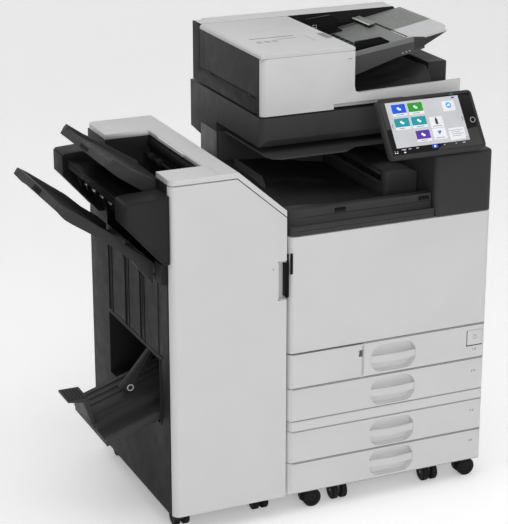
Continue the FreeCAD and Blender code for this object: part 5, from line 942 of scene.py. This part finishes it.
def wheel_details():
    """Hub caps and treads on every caster wheel."""
    cap = ((0, 0.6), (0, 9), (0.5, 12), (1.1, 13), (1.1, 18.5), (0.4, 20))
    other_cap = [(-along, size) for along, size in cap]
    tread = tyre(5, WHEEL_RADIUS - 3, WHEEL_RADIUS, 0.35, 0.7)
    for node, (axis, places) in WHEELS.items():
        lathe(f"{node}_cap_a", beside(axis, places, 20), axis, cap, BLACK, node, 32)
        lathe(f"{node}_cap_b", beside(axis, places, -20), axis, other_cap, BLACK, node, 32)
        lathe(f"{node}_tread", beside(axis, places, -19, -13, 7, 13), axis, tread, RUBBER, node)


def side_and_rear_details():
    """Door grips, screws, vents and a socket frame on the sides seen from behind."""
    prism("door_grip_frame", "yz", band(rounded(466, 560, 494, 668, 6), 2.0), 586.4, 588.0, FLAP_GREY,
          "right_door", 0.4)
    # grey sheet in the grip's hollow: painted shade
    prism("door_grip_hollow_shade", "yz", rounded(468.4, 562.4, 491.6, 665.6, 5), 586.6, 587.3, MARK, "right_door")
    prism("bypass_grip", "yz", rounded(222, 720, 298, 732, 3), 582.8, 584.2, MARK, "bypass_tray")
    prism("bypass_frame", "yz", band(rounded(92, 472, 428, 744, 3), 1.6), 586.5, 587.5, FLAP_GREY,
          "right_door", 0.3)
    vents = row(rounded(520, 150, 572, 154, 1.8, 3), 10, 0, 9)
    prism("side_vents", "yz", vents, 586.6, 587.3, INNER, "copier")
    screws = [(x, 605.8, z) for x in (40, 547) for z in (90, 480, 880)]
    lathe("rear_screws", screws, "y", SCREW_HEAD, AXLE, "copier", 18)
    seam("rear_seam", "xz", [(34, 470), (553, 470)], 1.0, 605.6, 606.3, BLACK, "copier")
    prism("rear_plate_frame", "xz", band(rounded(330, 96, 470, 150, 4), 1.4), 605.6, 606.6, FLAP_GREY,
          "copier", 0.3)
    ports = row(rounded(344, 112, 362, 130, 2, 3), 4, 30)
    prism("rear_ports", "xz", ports, 605.7, 606.4, INNER, "copier")
    screws = [(x, 657.2, z) for x in (30, 557) for z in (985, 1025)]
    lathe("scanner_screws", screws, "y", ((-0.4, 3.4), (0.6, 3.2), (1.1, 2), (1.1, 0.4)), AXLE, "copier", 18)
    back = 604.0
    prism("finisher_back_panel", "xz", rounded(-306, 120, -24, 800, 8), back - 0.5, back + 1.4, CABINET,
          "finisher", 0.6)
    screws = [(x, back + 1.0, z) for x in (-296, -34) for z in (134, 460, 786)]
    lathe("finisher_screws", screws, "y", SCREW_HEAD, AXLE, "finisher", 18)
    # fixing screws of the power inlet
    screws = [(69, 608.9, 110), (111, 608.9, 110)]
    lathe("inlet_screws", screws, "y", ((0, 2.4), (0.6, 2.2), (1.0, 1.4), (1.0, 0.3)), AXLE, "copier", 16)


# --------------------------------------------------------- floor, light, view
def floor_and_backdrop():
    """One pale sheet: floor that curves up into a backdrop far behind."""
    half, curve_from, curve_radius, top = 9.0, 3.2, 2.0, 9.0     # metres
    profile = [(-half, 0.0), (curve_from, 0.0)]
    for step in range(1, 13):
        angle = math.radians(90 * step / 12)
        profile.append((curve_from + curve_radius * math.sin(angle), curve_radius * (1 - math.cos(angle))))
    profile.append((curve_from + curve_radius, top))
    bm = bmesh.new()
    rows = [[bm.verts.new((-half + 2 * half * column / 12, y, z)) for column in range(13)]
            for y, z in profile]
    for first, second in zip(rows, rows[1:]):
        for column in range(12):
            bm.faces.new((first[column], first[column + 1], second[column + 1], second[column]))
    mesh = bpy.data.meshes.new("studio_floor")
    bm.to_mesh(mesh)
    bm.free()
    mesh.shade_smooth()
    floor = bpy.data.objects.new("studio_floor", mesh)
    bpy.context.scene.collection.objects.link(floor)
    paper = moulded("studio_paper", (0.92, 0.92, 0.92), roughness=0.9, grain=300, depth=0.01, mottle=0.004)
    surface = paper.node_tree.nodes["Principled BSDF"]
    surface.inputs["Emission Color"].default_value = (1, 1, 1, 1)
    surface.inputs["Emission Strength"].default_value = 0.3
    mesh.materials.append(paper)


def area_light(name, place_at, target, size, power):
    data = bpy.data.lights.new(name, "AREA")
    data.shape = "RECTANGLE"
    data.size, data.size_y = size
    data.energy = power
    lamp = bpy.data.objects.new(name, data)
    lamp.location = place_at
    lamp.rotation_euler = (Vector(target) - Vector(place_at)).to_track_quat("-Z", "Y").to_euler()
    bpy.context.scene.collection.objects.link(lamp)


def studio():
    """Soft top light, wide front fill and a gentle side light; pale surroundings."""
    area_light("top_soft", (-0.4, -0.6, 3.6), (0.0, 0.0, 0.6), (3.2, 3.2), 48)
    area_light("front_fill", (-0.9, -5.0, 2.3), (0.0, 0.0, 0.7), (3.0, 2.4), 76)
    area_light("side_soft", (3.4, -2.2, 2.4), (0.0, 0.0, 0.8), (2.0, 2.4), 18)
    world = bpy.data.worlds.new("studio_world")
    world.use_nodes = True
    background = world.node_tree.nodes["Background"]
    background.inputs["Color"].default_value = (1.0, 1.0, 1.0, 1)
    background.inputs["Strength"].default_value = 0.28
    bpy.context.scene.world = world


def camera():
    """Long lens from the left front, a little above, as the machine is usually pictured."""
    azimuth, elevation = math.radians(23.96), math.radians(19.31)
    forward = Vector((math.sin(azimuth) * math.cos(elevation), math.cos(azimuth) * math.cos(elevation),
                      -math.sin(elevation)))
    data = bpy.data.cameras.new("view")
    data.lens = 127.5
    data.sensor_width = 36.0
    data.clip_end = 60.0
    data.shift_x = -0.0027
    data.shift_y = -0.0025
    view = bpy.data.objects.new("view", data)
    view.location = at(-1876, -4008, 2268)
    view.rotation_euler = forward.to_track_quat("-Z", "Y").to_euler()
    bpy.context.scene.collection.objects.link(view)
    bpy.context.scene.camera = view


dress_nodes()
display()
tray_marks()
front_seams()
switch_marks()
output_floor()
output_details()
exit_details()
scanner_details()
feeder_details()
feeder_output()
feeder_tray_details()
flap_details()
finisher_details()
hood_details()
tray_skin("proof", "finisher", [(-240, 882), (-321, 930), (-377, 963), (-428, 993.4)], 98, 460,
          [(-446.8, 985.6), (-438.6, 999.8), (-434.4, 997.3), (-442.4, 983.4)])
tray_skin("stacker", "shift_tray",
          [(-345, 722), (-395, 763), (-440, 804), (-470, 827), (-520, 862), (-552, 886.4)], 94, 464,
          [(-575.8, 891.2), (-564.2, 906.9), (-560.4, 904.2), (-572, 888.6)])
booklet_details()
wheel_details()
side_and_rear_details()
floor_and_backdrop()
studio()
camera()
bpy.context.scene.view_settings.view_transform = "Standard"
